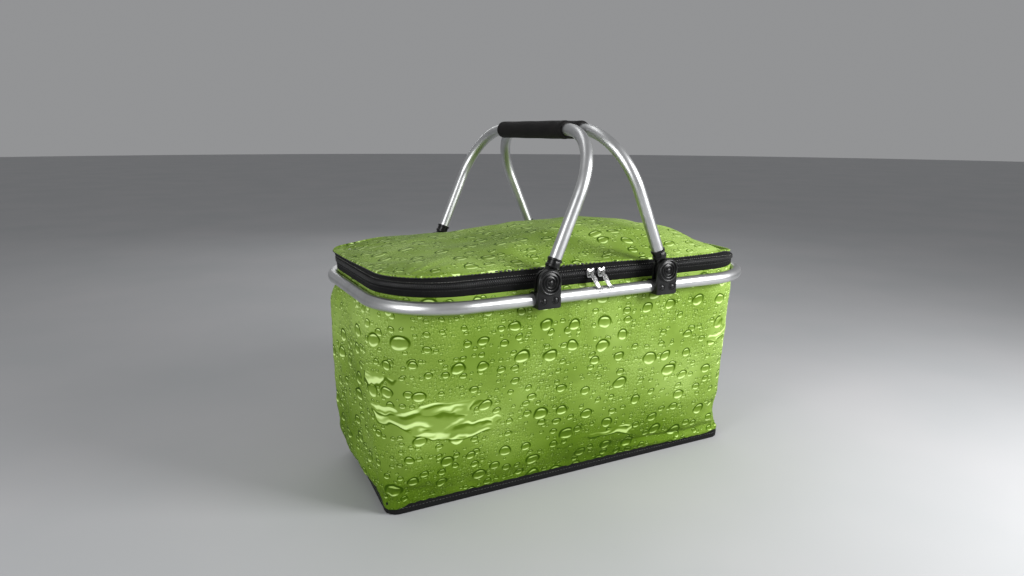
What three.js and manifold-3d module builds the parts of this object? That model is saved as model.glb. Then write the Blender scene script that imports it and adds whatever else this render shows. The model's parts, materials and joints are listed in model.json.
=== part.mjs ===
// Insulated cooler basket: a padded fabric bag that hangs inside an oval rim of aluminium tube, with
// a domed zipped lid and two carrying bails that swing on four plastic brackets.
// Millimetres, +Z up, X along the basket, front at -Y, origin under the middle of the base.
import * as THREE from "three";
import { mergeVertices } from "three/addons/utils/BufferGeometryUtils.js";
import Module from "manifold-3d";

const wasm = await Module();
wasm.setup();

// ---- Driving dimensions -------------------------------------------------------------------------
const GAP = 0.3; // clearance between neighbouring pieces
const LOOSE = 0.4; // clearance where cloth or a loose board lies on another layer
const THROUGH = 1; // how far cutters pass the faces they cut
const CORNER_STEPS = 6; // straight facets in each rounded corner
const TUBE_SIDES = { outer: 10, inner: 5 };

const TUBE_R = 6.5; // rim and bail tube
const TUBE_WALL = 1.2;
const TUBE_BORE_R = TUBE_R + GAP; // in brackets, sockets and grips
const RIM = { halfX: 235, halfY: 140, radius: 83, z: 228 }; // centreline of the rim tube

// Outer face of the bag: height, half length, half width and corner radius, from base to zip.
const WALL = [
  [10.3, 227, 89, 14],
  [70, 232, 103, 36],
  [135, 234, 117, 56],
  [200, 234, 130, 72],
  [219, 228, 133, 76],
  [234, 228, 133, 76],
  [237, 231, 130.5, 76],
].map(([z, halfX, halfY, radius]) => ({ z, halfX, halfY, radius }));
const SKIN = 1.2; // woven cover
const PADDING = 4; // insulating foam
const FOIL = 0.8; // lining
const PADDING_INSET = SKIN + GAP;
const LINER_INSET = PADDING_INSET + PADDING + GAP;
const PADDING_TOP = 233;

const BINDING = { halfX: 228.5, halfY: 90.5, radius: 15, height: 10, thick: 1.2 };
const BASE_THICK = 1.5;
// The loose floor board, short enough to be lifted out past the lining.
const BOARD = { halfX: 192, halfY: 76, radius: 12, thick: 3 };
const HEM = { outerInset: 4.5, innerInset: 8.5, height: 4.1 }; // binding over the layers' top edges

const BAND = { halfX: 231, halfY: 130.5, radius: 76 }; // outer face of the zip tapes
const TAPE_THICK = 1;
const LOWER_TAPE = [237.4, 247.2]; // bottom and top
const UPPER_TAPE = [248.8, 259];
const ZIP_Z = 248;
const TEETH = { height: 1.8, thick: 1 };

const LID_EDGE_Z = 260.5;
const LID_RISE = 28; // height of the dome above its edge
const LID_POWER = 1.9; // higher is flatter in the middle
const LID_CROWN_X = 30; // the padding is fullest a little right of the middle
const LID_RINGS = [1, 0.88, 0.7, 0.45, 0.15]; // share of the outline's size

const BRACKET = { x: 74, halfWidth: 13.5, bottom: 219.5, blockTop: 235.5 };
const PIVOT = { z: 246.5, r: 2, holeR: 2.3, discR: 13.5, cheekR: 11 };
// Depths across a bracket, measured outwards from the rim tube's centreline.
const PLATE_W = [8.3, 11.8];
const CHEEK_W = [-1.2, 1.3];
const BLOCK_INNER_W = -6.6;
const KNUCKLE = { w: 4.8, thick: 6.4, r: 9.5, neckHalf: 6 };
const RIVET = { x: 6.8, r: 1.6, holeR: 1.9, headR: 2.9, headThick: 1.2, sides: 8 };
const PIN = { r: PIVOT.r, headR: 4.2, headThick: 1.4, sides: 12 };
const DOME = { radius: 0.8, height: 0.7 }; // shoulder of a rivet's domed head, as shares of the head
const BACKING = { thick: 2, bottom: 220, top: 232.5 };

const GRIP = { x: 10.3, z: 395, halfLength: 75.5, r: 10, edge: 1.5 };
const BAIL_Y = RIM.halfY + KNUCKLE.w; // legs of each bail
const BAIL_BEND_R = 68;
const SOCKET = { r: 7.8, bottom: 14.3, floor: 16, top: 24 }; // along the leg, from the pivot

// Slider: two plates, at depths measured forwards, and the web between them.
const SLIDER = { halfX: 5, halfZ: 5, front: [132.1, 133.5], back: [127, 128.9] };
const SLIDER_WEB = { fromEnd: 1, length: 3, thick: 0.9 };
const SLIDER_X = { left: -13.8, right: 0 };
const BAIL_BAR = { y: 135.4, r: 0.6, halfX: 3.5, postWidth: 1 };
const PULL = { length: 22.5, width: 6.4, thick: 1.2, holeR: 1.9, neckWidth: 3, neckLength: 2.6 };
const PULL_KNUCKLE = { r: 1.6, length: 3, play: 0.35 }; // loop round the slider's bar
const PULL_LEAN = THREE.MathUtils.degToRad(35.5); // outwards over the rim tube
const PULL_SWAY = THREE.MathUtils.degToRad(12); // sideways, along the zip

// ---- Materials ----------------------------------------------------------------------------------
const material = (color, roughness, metalness = 0) =>
  new THREE.MeshStandardMaterial({ color, roughness, metalness });
const greenFabric = material(0x86ad3f, 0.55);
const blackFabric = material(0x17171a, 0.85);
const aluminium = material(0xc9c9cc, 0.3, 1);
const blackPlastic = material(0x141415, 0.45);
const gripFoam = material(0x1b1a1a, 0.9);
const silverFoil = material(0xbfc2c4, 0.35, 0.7);
const whiteFoam = material(0xe8e6df, 0.95);
const zipMetal = material(0xb8b8b6, 0.3, 1);
const boardCard = material(0x3a3a3c, 0.8);

// ---- Solids -------------------------------------------------------------------------------------
// A closed geometry as a manifold-3d solid, for cutting and joining.
function solidOf(geometry) {
  const plain = geometry.index ? geometry.toNonIndexed() : geometry;
  const bare = new THREE.BufferGeometry().setAttribute("position", plain.getAttribute("position"));
  const merged = mergeVertices(bare, 1e-3);
  return new wasm.Manifold(
    new wasm.Mesh({
      numProp: 3,
      vertProperties: merged.attributes.position.array,
      triVerts: new Uint32Array(merged.index.array),
    }),
  );
}

function geometryOf(solid) {
  const { vertProperties, triVerts } = solid.getMesh();
  return new THREE.BufferGeometry()
    .setAttribute("position", new THREE.BufferAttribute(vertProperties, 3))
    .setIndex(new THREE.BufferAttribute(triVerts, 1));
}

const join = (...geometries) => geometries.map(solidOf).reduce((all, next) => all.add(next));
const cut = (solid, ...cutters) => cutters.map(solidOf).reduce((rest, c) => rest.subtract(c), solid);

// Cylinder along Y between two y values.
function rodY(radius, x, z, fromY, toY, sides = 12) {
  const rod = new THREE.CylinderGeometry(radius, radius, Math.abs(toY - fromY), sides);
  return rod.translate(x, (fromY + toY) / 2, z);
}

function box(from, to) {
  const [size, middle] = [[], []];
  for (const axis of [0, 1, 2]) {
    size.push(Math.abs(to[axis] - from[axis]));
    middle.push((to[axis] + from[axis]) / 2);
  }
  return new THREE.BoxGeometry(...size).translate(...middle);
}

// ---- Rounded rectangles and lofts ---------------------------------------------------------------
// Corner points of a rounded rectangle, anticlockwise from the right-hand side.
function roundedRectangle({ halfX, halfY, radius }, inset = 0) {
  const r = radius - inset;
  const points = [];
  for (let corner = 0; corner < 4; corner++) {
    const middle = new THREE.Vector2(halfX - radius, halfY - radius);
    if (corner === 1 || corner === 2) middle.x *= -1;
    if (corner > 1) middle.y *= -1;
    for (let step = 0; step <= CORNER_STEPS; step++) {
      const angle = (Math.PI / 2) * (corner + step / CORNER_STEPS);
      points.push(new THREE.Vector2(r * Math.cos(angle), r * Math.sin(angle)).add(middle));
    }
  }
  return points;
}

const ringAt = (outline, z) => outline.map((p) => new THREE.Vector3(p.x, p.y, z));

// Skin over a list of rings that have the same number of points. A closed loft joins its last ring
// to its first; an open one is capped at both ends.
function loft(rings, closed = false) {
  const count = rings[0].length;
  const index = [];
  const spans = closed ? rings.length : rings.length - 1;
  for (let k = 0; k < spans; k++) {
    const [low, high] = [k * count, ((k + 1) % rings.length) * count];
    for (let i = 0; i < count; i++) {
      const j = (i + 1) % count;
      index.push(low + i, low + j, high + j, low + i, high + j, high + i);
    }
  }
  if (!closed) {
    const last = (rings.length - 1) * count;
    const flat = (ring) => ring.map((p) => new THREE.Vector2(p.x, p.y));
    for (const [a, b, c] of THREE.ShapeUtils.triangulateShape(flat(rings[0]), [])) {
      index.push(a, c, b);
    }
    for (const [a, b, c] of THREE.ShapeUtils.triangulateShape(flat(rings.at(-1)), [])) {
      index.push(last + a, last + b, last + c);
    }
  }
  return new THREE.BufferGeometry().setFromPoints(rings.flat()).setIndex(index);
}

// The bag's outline at a height, inset from its outer face.
function wallRing(z, inset) {
  const above = WALL.findIndex((station) => station.z >= z);
  const high = WALL[Math.max(above, 1)];
  const low = WALL[Math.max(above, 1) - 1];
  const t = THREE.MathUtils.clamp((z - low.z) / (high.z - low.z), 0, 1);
  const at = {};
  for (const size of ["halfX", "halfY", "radius"]) {
    at[size] = THREE.MathUtils.lerp(low[size], high[size], t);
  }
  return ringAt(roundedRectangle(at, inset), z);
}

// A layer of the bag's wall, open at top and bottom.
function wallLayer(bottom, top, inset, thick) {
  const between = WALL.map((station) => station.z).filter((z) => z > bottom && z < top);
  const heights = [bottom, ...between, top];
  const outer = heights.map((z) => wallRing(z, inset));
  const inner = heights.map((z) => wallRing(z, inset + thick)).reverse();
  return loft([...outer, ...inner], true);
}

// The same layer with a floor.
function wallCup(bottom, top, inset, thick) {
  const between = WALL.map((station) => station.z).filter((z) => z > bottom + thick && z < top);
  const outer = [bottom, ...between, top].map((z) => wallRing(z, inset));
  const inner = [bottom + thick, ...between, top].map((z) => wallRing(z, inset + thick)).reverse();
  return loft([...outer, ...inner]);
}

// A sheet domed like the lid, its top edge at topZ.
function domedSheet(outline, topZ, thick) {
  const ring = (share, z) => {
    const scaled = outline.map((p) => p.clone().multiplyScalar(share));
    for (const p of scaled) p.x += LID_CROWN_X * (1 - share);
    return ringAt(scaled, z + LID_RISE * (1 - share ** LID_POWER));
  };
  const under = LID_RINGS.map((share) => ring(share, topZ - thick)).reverse();
  const over = LID_RINGS.map((share) => ring(share, topZ));
  return loft([...under, ...over]);
}

const slab = (outline, bottom, top) =>
  new THREE.ExtrudeGeometry(new THREE.Shape(outline), {
    depth: top - bottom,
    bevelEnabled: false,
  }).translate(0, 0, bottom);

function ringSlab(outer, inner, bottom, top) {
  const shape = new THREE.Shape(outer);
  shape.holes.push(new THREE.Path(inner));
  const ring = new THREE.ExtrudeGeometry(shape, { depth: top - bottom, bevelEnabled: false });
  return ring.translate(0, 0, bottom);
}

// A strip that follows the zip round the left end, the front and the right end.
function zipStrip(outset, thick, bottom, top) {
  const backPoints = CORNER_STEPS + 1; // the outline starts with the back right corner
  const alongZip = (inset) => {
    const all = roundedRectangle(BAND, inset);
    return [...all.slice(backPoints), ...all.slice(0, backPoints)];
  };
  return slab([...alongZip(-outset), ...alongZip(thick - outset).reverse()], bottom, top);
}

// ---- Tubes --------------------------------------------------------------------------------------
// A flat path placed in space.
class PlacedPath extends THREE.Curve {
  constructor(path, place) {
    super();
    this.path = path;
    this.place = place;
  }
  getPoint(t, target = new THREE.Vector3()) {
    return target.copy(this.place(this.path.getPoint(t)));
  }
}

const circle = (Kind, radius, sides) => {
  const points = [];
  for (let i = 0; i < sides; i++) {
    const angle = (2 * Math.PI * i) / sides;
    points.push(new THREE.Vector2(radius * Math.cos(angle), radius * Math.sin(angle)));
  }
  return new Kind(points);
};

function tubeAlong(curve, steps) {
  const section = circle(THREE.Shape, TUBE_R, TUBE_SIDES.outer);
  section.holes.push(circle(THREE.Path, TUBE_R - TUBE_WALL, TUBE_SIDES.inner));
  return new THREE.ExtrudeGeometry(section, { steps, extrudePath: curve, bevelEnabled: false });
}

// One end of the rim: from the front bracket round to the back bracket.
function rimEndTube(side) {
  const { halfX, halfY, radius, z } = RIM;
  const [far, near] = [halfX - radius, BRACKET.x + GAP];
  const path = new THREE.Path()
    .moveTo(near, -halfY)
    .lineTo(far, -halfY)
    .absarc(far, -halfY + radius, radius, -Math.PI / 2, 0, false)
    .lineTo(halfX, halfY - radius)
    .absarc(far, halfY - radius, radius, 0, Math.PI / 2, false)
    .lineTo(near, halfY);
  return tubeAlong(new PlacedPath(path, (p) => new THREE.Vector3(side * p.x, p.y, z)), 30);
}

function rimSideTube(facing) {
  const end = BRACKET.x - GAP;
  const line = new THREE.LineCurve3(
    new THREE.Vector3(-end, facing * RIM.halfY, RIM.z),
    new THREE.Vector3(end, facing * RIM.halfY, RIM.z),
  );
  return tubeAlong(line, 1);
}

// A bail in its own frame: pivot axis along Y through the origin, legs along +Z.
const BAIL_REACH = Math.hypot(BRACKET.x - GRIP.x, GRIP.z - PIVOT.z);
const BAIL_TILT = Math.atan2(BRACKET.x - GRIP.x, GRIP.z - PIVOT.z);

function bailTube() {
  const [start, bend] = [SOCKET.floor + GAP, BAIL_REACH - BAIL_BEND_R];
  const inner = BAIL_Y - BAIL_BEND_R;
  const path = new THREE.Path()
    .moveTo(-BAIL_Y, start)
    .lineTo(-BAIL_Y, bend)
    .absarc(-inner, bend, BAIL_BEND_R, Math.PI, Math.PI / 2, true)
    .lineTo(inner, BAIL_REACH)
    .absarc(inner, bend, BAIL_BEND_R, Math.PI / 2, 0, true)
    .lineTo(BAIL_Y, start);
  return tubeAlong(new PlacedPath(path, (p) => new THREE.Vector3(0, p.x, p.y)), 30);
}

function bailGrip() {
  const { halfLength, r, edge } = GRIP;
  const profile = [
    [TUBE_BORE_R, -halfLength],
    [r - edge, -halfLength],
    [r, edge - halfLength],
    [r, halfLength - edge],
    [r - edge, halfLength],
    [TUBE_BORE_R, halfLength],
    [TUBE_BORE_R, -halfLength],
  ].map(([x, y]) => new THREE.Vector2(x, y));
  return new THREE.LatheGeometry(profile, 16).translate(0, 0, BAIL_REACH);
}

// Plastic foot of a bail leg: a knuckle on the pivot pin and a socket for the tube.
function bailSocket(y) {
  const half = KNUCKLE.thick / 2;
  const { neckHalf } = KNUCKLE;
  const sleeve = new THREE.CylinderGeometry(SOCKET.r, SOCKET.r, SOCKET.top - SOCKET.bottom, 14)
    .rotateX(Math.PI / 2)
    .translate(0, y, (SOCKET.top + SOCKET.bottom) / 2);
  const bore = new THREE.CylinderGeometry(TUBE_BORE_R, TUBE_BORE_R, SOCKET.top, 12)
    .rotateX(Math.PI / 2)
    .translate(0, y, SOCKET.floor + SOCKET.top / 2);
  const body = join(
    rodY(KNUCKLE.r, 0, 0, y - half, y + half, 16),
    box([-neckHalf, y - half, 0], [neckHalf, y + half, SOCKET.bottom + GAP]),
    sleeve,
  );
  const pinHole = rodY(PIVOT.holeR, 0, 0, y - half - THROUGH, y + half + THROUGH);
  return geometryOf(cut(body, bore, pinHole));
}

// ---- Brackets and their fasteners ---------------------------------------------------------------
// facing is -1 at the front and +1 at the back; side is -1 on the left and +1 on the right.
function bracket(side, facing) {
  const x = side * BRACKET.x;
  const y = (w) => facing * (RIM.halfY + w);
  const span = (half, w, bottom, top) => box([x - half, y(w[0]), bottom], [x + half, y(w[1]), top]);
  const body = join(
    span(BRACKET.halfWidth, [BLOCK_INNER_W, PLATE_W[1]], BRACKET.bottom, BRACKET.blockTop),
    span(BRACKET.halfWidth, PLATE_W, BRACKET.bottom, PIVOT.z),
    rodY(PIVOT.discR, x, PIVOT.z, y(PLATE_W[0]), y(PLATE_W[1]), 20),
    span(PIVOT.cheekR, CHEEK_W, BRACKET.blockTop - THROUGH, PIVOT.z),
    rodY(PIVOT.cheekR, x, PIVOT.z, y(CHEEK_W[0]), y(CHEEK_W[1]), 16),
  );
  const boreLength = 2 * (BRACKET.halfWidth + THROUGH);
  const tubeBore = new THREE.CylinderGeometry(TUBE_BORE_R, TUBE_BORE_R, boreLength, 14)
    .rotateZ(Math.PI / 2)
    .translate(x, y(0), RIM.z);
  const [inside, outside] = [y(CHEEK_W[0] - THROUGH), y(PLATE_W[1] + THROUGH)];
  const pinHole = rodY(PIVOT.holeR, x, PIVOT.z, inside, outside);
  return geometryOf(cut(body, tubeBore, pinHole, ...rivetHoles(side, facing)));
}

const LINER_FACE_W = WALL.at(-2).halfY - LINER_INSET - FOIL - RIM.halfY; // the liner's inner face
const BACKING_W = [LINER_FACE_W - GAP - BACKING.thick, LINER_FACE_W - GAP];

// Cutters for the rivets, through everything from the backing plate to the bracket's face.
function rivetHoles(side, facing) {
  const y = (w) => facing * (RIM.halfY + w);
  return [-1, 1].map((end) => {
    const x = side * BRACKET.x + end * RIVET.x;
    const [inside, outside] = [y(BACKING_W[0] - THROUGH), y(PLATE_W[1] + THROUGH)];
    return rodY(RIVET.holeR, x, RIM.z, inside, outside, RIVET.sides);
  });
}

const allRivetHoles = [-1, 1].flatMap((side) => [-1, 1].flatMap((f) => rivetHoles(side, f)));
const drilled = (geometry) => geometryOf(cut(solidOf(geometry), ...allRivetHoles));

function backingPlate(side, facing) {
  const x = side * BRACKET.x;
  const plate = box(
    [x - BRACKET.halfWidth, facing * (RIM.halfY + BACKING_W[0]), BACKING.bottom],
    [x + BRACKET.halfWidth, facing * (RIM.halfY + BACKING_W[1]), BACKING.top],
  );
  return geometryOf(cut(solidOf(plate), ...rivetHoles(side, facing)));
}

// A rivet along Y from an inner head to a domed outer head; w is the depth of the heads' seats.
function rivet(x, z, facing, w, { r, headR, headThick, sides }) {
  const profile = [
    [0, w[0] - headThick],
    [headR, w[0] - headThick],
    [headR, w[0]],
    [r, w[0]],
    [r, w[1]],
    [headR, w[1]],
    [headR * DOME.radius, w[1] + headThick * DOME.height],
    [0, w[1] + headThick],
  ].map(([radius, along]) => new THREE.Vector2(radius, along));
  const lathe = new THREE.LatheGeometry(profile, sides);
  if (facing < 0) lathe.rotateX(Math.PI);
  return lathe.translate(x, facing * RIM.halfY, z);
}

function tubeRivet(side, facing, end) {
  const seats = [BACKING_W[0] - GAP, PLATE_W[1] + GAP];
  return rivet(side * BRACKET.x + end * RIVET.x, RIM.z, facing, seats, RIVET);
}

function pivotPin(side, facing) {
  const seats = [CHEEK_W[0] - GAP, PLATE_W[1] + GAP];
  return rivet(side * BRACKET.x, PIVOT.z, facing, seats, PIN);
}

// ---- Zip slider and pull ------------------------------------------------------------------------
function slider(x) {
  const { halfX, halfZ, front, back } = SLIDER;
  const plate = ([inner, outer]) =>
    box([x - halfX, -inner, ZIP_Z - halfZ], [x + halfX, -outer, ZIP_Z + halfZ]);
  const bar = new THREE.CylinderGeometry(BAIL_BAR.r, BAIL_BAR.r, 2 * BAIL_BAR.halfX, 8)
    .rotateZ(Math.PI / 2)
    .translate(x, -BAIL_BAR.y, ZIP_Z);
  const posts = [-1, 1].map((end) =>
    box(
      [x + end * (BAIL_BAR.halfX - BAIL_BAR.postWidth), -front[1] + GAP, ZIP_Z - BAIL_BAR.r],
      [x + end * BAIL_BAR.halfX, -BAIL_BAR.y - BAIL_BAR.r, ZIP_Z + BAIL_BAR.r],
    ),
  );
  const webX = x - halfX + SLIDER_WEB.fromEnd;
  const web = box(
    [webX, -back[0], ZIP_Z - SLIDER_WEB.thick / 2],
    [webX + SLIDER_WEB.length, -front[1], ZIP_Z + SLIDER_WEB.thick / 2],
  );
  return geometryOf(join(plate(front), plate(back), web, bar, ...posts));
}

// A flat tab on a knuckle round the slider's bar, made hanging down and then leaned and swayed.
function pull(x) {
  const { length, width, thick, holeR, neckWidth, neckLength } = PULL;
  const [end, neck] = [width / 2, neckWidth / 2];
  const shoulder = neckLength + end - neck;
  const outline = new THREE.Shape()
    .moveTo(-neck, 0)
    .lineTo(-neck, -neckLength)
    .lineTo(-end, -shoulder)
    .lineTo(-end, end - length)
    .absarc(0, end - length, end, Math.PI, 2 * Math.PI, false)
    .lineTo(end, -shoulder)
    .lineTo(neck, -neckLength)
    .lineTo(neck, 0);
  const tab = new THREE.ExtrudeGeometry(outline, {
    depth: thick,
    bevelEnabled: false,
    curveSegments: 6,
  })
    .rotateX(Math.PI / 2)
    .translate(0, thick / 2, 0)
    .rotateY(-PULL_SWAY);
  const hole = rodY(holeR, 0, end - length, -thick, thick, 8).rotateY(-PULL_SWAY);
  const along = (r, reach) => new THREE.CylinderGeometry(r, r, reach, 10).rotateZ(Math.PI / 2);
  const bore = along(BAIL_BAR.r + PULL_KNUCKLE.play, 2 * width);
  const solid = cut(join(tab, along(PULL_KNUCKLE.r, PULL_KNUCKLE.length)), hole, bore);
  return geometryOf(solid).rotateX(-PULL_LEAN).translate(x, -BAIL_BAR.y, ZIP_Z);
}

// ---- Assembly -----------------------------------------------------------------------------------
const basket = new THREE.Group();

function add(name, geometry, finish, parent = basket) {
  const mesh = new THREE.Mesh(geometry, finish);
  mesh.name = name;
  parent.add(mesh);
}

// Bag, from the outside in.
add("outer_shell", drilled(wallLayer(WALL[0].z, WALL.at(-1).z, 0, SKIN)), greenFabric);
const floorLevels = { foam: BASE_THICK + GAP };
floorLevels.liner = floorLevels.foam + PADDING + GAP;
floorLevels.board = floorLevels.liner + FOIL + LOOSE;
const wallFoam = wallLayer(floorLevels.liner, PADDING_TOP, PADDING_INSET, PADDING);
add("wall_foam", drilled(wallFoam), whiteFoam);
add("foil_liner", drilled(wallCup(floorLevels.liner, PADDING_TOP, LINER_INSET, FOIL)), silverFoil);
const hem = (inset) => roundedRectangle(WALL.at(-2), inset);
const hemBottom = PADDING_TOP + LOOSE;
const hemRing = ringSlab(hem(HEM.outerInset), hem(HEM.innerInset), hemBottom, hemBottom + HEM.height);
add("liner_hem", hemRing, blackFabric);

const baseOutline = (inset) => roundedRectangle(BINDING, inset);
const bindingInner = baseOutline(BINDING.thick);
add("base_binding", ringSlab(baseOutline(0), bindingInner, 0, BINDING.height), blackFabric);
add("base_panel", slab(baseOutline(BINDING.thick + GAP), 0, BASE_THICK), blackFabric);
const floorOutline = roundedRectangle(WALL[0], PADDING_INSET);
const floorFoam = slab(floorOutline, floorLevels.foam, floorLevels.foam + PADDING);
add("floor_foam", floorFoam, whiteFoam);
const board = slab(roundedRectangle(BOARD), floorLevels.board, floorLevels.board + BOARD.thick);
add("base_board", board, boardCard);

// Rim, brackets and fasteners.
const SIDES = { left: -1, right: 1 };
const FACINGS = { front: -1, back: 1 };
for (const [sideName, side] of Object.entries(SIDES)) {
  add(`rim_tube_${sideName}`, drilled(rimEndTube(side)), aluminium);
}
for (const [facingName, facing] of Object.entries(FACINGS)) {
  add(`rim_tube_${facingName}`, drilled(rimSideTube(facing)), aluminium);
  for (const [sideName, side] of Object.entries(SIDES)) {
    const corner = `${facingName}_${sideName}`;
    add(`bracket_${corner}`, bracket(side, facing), blackPlastic);
    add(`backing_plate_${corner}`, backingPlate(side, facing), blackPlastic);
    add(`pivot_pin_${corner}`, pivotPin(side, facing), zipMetal);
    for (const end of [-1, 1]) {
      const rivetName = `rim_rivet_${corner}_${end < 0 ? "a" : "b"}`;
      add(rivetName, tubeRivet(side, facing, end), blackPlastic);
    }
  }
}

// Bails, leaning in until their grips meet.
for (const [sideName, side] of Object.entries(SIDES)) {
  const bail = new THREE.Group();
  bail.position.set(side * BRACKET.x, 0, PIVOT.z);
  bail.rotation.y = -side * BAIL_TILT;
  basket.add(bail);
  add(`bail_tube_${sideName}`, bailTube(), aluminium, bail);
  add(`bail_grip_${sideName}`, bailGrip(), gripFoam, bail);
  for (const [facingName, facing] of Object.entries(FACINGS)) {
    add(`bail_socket_${facingName}_${sideName}`, bailSocket(facing * BAIL_Y), blackPlastic, bail);
  }
}

// Zip.
const teethOutset = GAP + TEETH.thick;
add("zip_tape_lower", zipStrip(0, TAPE_THICK, ...LOWER_TAPE), blackFabric);
add("zip_tape_upper", zipStrip(0, TAPE_THICK, ...UPPER_TAPE), blackFabric);
const lowerTeeth = [LOWER_TAPE[1] - TEETH.height, LOWER_TAPE[1]];
const upperTeeth = [UPPER_TAPE[0], UPPER_TAPE[0] + TEETH.height];
add("zip_teeth_lower", zipStrip(teethOutset, TEETH.thick, ...lowerTeeth), blackPlastic);
add("zip_teeth_upper", zipStrip(teethOutset, TEETH.thick, ...upperTeeth), blackPlastic);
for (const [sideName, x] of Object.entries(SLIDER_X)) {
  add(`zip_slider_${sideName}`, slider(x), zipMetal);
  add(`zip_pull_${sideName}`, pull(x), zipMetal);
}

// Lid, and the cloth band that hinges it along the back.
const hingeEnd = BAND.halfX - BAND.radius - GAP;
const hingeBand = ([bottom, top]) =>
  box([-hingeEnd, BAND.halfY - TAPE_THICK, bottom], [hingeEnd, BAND.halfY, top]);
add("hinge_band_lower", hingeBand(LOWER_TAPE), blackFabric);
add("hinge_band_upper", hingeBand(UPPER_TAPE), blackFabric);
const lidFoamTop = LID_EDGE_Z - SKIN - GAP;
const lidInside = roundedRectangle(BAND, TAPE_THICK + GAP);
add("lid_cover", domedSheet(roundedRectangle(BAND), LID_EDGE_Z, SKIN), greenFabric);
add("lid_foam", domedSheet(lidInside, lidFoamTop, PADDING), whiteFoam);
add("lid_lining", domedSheet(lidInside, lidFoamTop - PADDING - GAP, FOIL), silverFoil);

export default basket;
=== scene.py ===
"""Looks of a folding insulated cooler basket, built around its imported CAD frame.

Metres, +Z up, X along the basket, front at -Y. Places come from the frame's boxes and joints.
"""

import json
import math
import random

import bmesh
import bpy
import numpy as np
from mathutils import Matrix, Vector


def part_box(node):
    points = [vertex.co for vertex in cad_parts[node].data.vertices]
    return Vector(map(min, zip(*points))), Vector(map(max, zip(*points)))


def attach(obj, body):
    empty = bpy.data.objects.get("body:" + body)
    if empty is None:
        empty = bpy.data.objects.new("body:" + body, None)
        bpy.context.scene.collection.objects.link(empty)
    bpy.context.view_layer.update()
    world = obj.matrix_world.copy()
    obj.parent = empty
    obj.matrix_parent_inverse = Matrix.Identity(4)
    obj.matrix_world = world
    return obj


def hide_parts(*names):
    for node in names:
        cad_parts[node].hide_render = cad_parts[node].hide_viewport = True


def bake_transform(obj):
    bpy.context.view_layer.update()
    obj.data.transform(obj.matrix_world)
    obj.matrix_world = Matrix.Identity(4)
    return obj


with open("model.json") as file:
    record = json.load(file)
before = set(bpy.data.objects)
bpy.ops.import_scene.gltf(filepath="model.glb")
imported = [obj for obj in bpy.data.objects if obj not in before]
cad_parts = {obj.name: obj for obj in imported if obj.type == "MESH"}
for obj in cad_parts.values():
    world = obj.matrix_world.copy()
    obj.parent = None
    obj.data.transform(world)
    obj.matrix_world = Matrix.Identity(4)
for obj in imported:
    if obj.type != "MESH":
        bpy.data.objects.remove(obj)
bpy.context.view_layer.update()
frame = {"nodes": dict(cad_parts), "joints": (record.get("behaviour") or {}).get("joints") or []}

MM = 0.001
SIDES = {"left": -1, "right": 1}
FACINGS = {"front": -1, "back": 1}

# ---- Sizes ----
TUBE_R = 6.5 * MM
TUBE_WALL = 1.2 * MM
RIM_CORNER_R = 83 * MM
BAIL_BEND_R = 68 * MM

# The bag's outer face: height, half length, half width and corner radius.
WALL = np.array(
    [
        [10.3, 227, 89, 14],
        [70, 232, 103, 36],
        [135, 234, 117, 56],
        [200, 234, 130, 72],
        [219, 228, 133, 76],
        [234, 228, 133, 76],
        [237, 231, 130.5, 76],
    ]
) * MM
TUCK_Z = 216 * MM  # above this the rim tube holds the cloth still
SKIN = 1.2 * MM
PADDING = (2.6 * MM, 5.5 * MM)  # depth of the foam's two faces behind the cloth
LINING = (5.8 * MM, 6.6 * MM)
LINING_TOP = 233 * MM
FOIL_CREASE = 1.1 * MM

ZIP_Z = 248 * MM
TAPE_THICK = 1.0 * MM
TAPE_LOWER = (237.4 * MM, 247.0 * MM)
TAPE_UPPER = (249.0 * MM, 259.2 * MM)
ZIP_EDGE = (231 * MM, 130.5 * MM, 76 * MM)  # half length, half width and corner radius at the zip
# The same at the lid's seam, whose left corners are pulled out sharper than the right ones.
LID_EDGE = {"left": (230 * MM, 129.5 * MM, 56 * MM), "right": (228.5 * MM, 129.5 * MM, 76 * MM)}
LID_EDGE_Z = 259.6 * MM
LID_RISE = 27 * MM
LID_ROLL = 3 * MM  # quick rise of the padding just inside the seam
LID_ROLL_WIDTH = 0.05
LID_POWER = 1.55
LID_CROWN_X = 56 * MM

# How the soft parts hang, in millimetres.
FRONT_DROP = (2, 4.6)  # how far the lid's edge hangs along the front: least and most
LEFT_DROP = (2, 4.6)
RIGHT_DROP = (8, 10.6)
BASE_DRAWN_IN = 13  # how far the base's back left corner is pulled under the bag
FULL_END = 5  # how far the left end stands out
SLACK_END = 5.6  # how far the right end hangs in


def box(node):
    """Lowest and highest corner of a CAD node."""
    low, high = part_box(node)
    return np.array(low), np.array(high)


def middle(node):
    """Centre of a CAD node."""
    return sum(box(node)) / 2


RIM_Z = middle("rim_tube_front")[2]
RIM_Y = -middle("rim_tube_front")[1]
RIM_X = -box("rim_tube_left")[0][0] - TUBE_R
PIVOT = {
    side: np.array(joint["pos_m"])
    for joint in frame["joints"]
    for side in SIDES
    if joint["name"] == f"bail_{side}_swing"
}
PIVOT_Z = PIVOT["left"][2]
BRACKET_X = PIVOT["right"][0]
BAIL_Y = middle("bail_socket_back_left")[1]
grip_from_pivot = middle("bail_grip_left") - PIVOT["left"]
BAIL_REACH = math.hypot(grip_from_pivot[0], grip_from_pivot[2])
BAIL_TILT = math.atan2(grip_from_pivot[0], grip_from_pivot[2])


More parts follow.
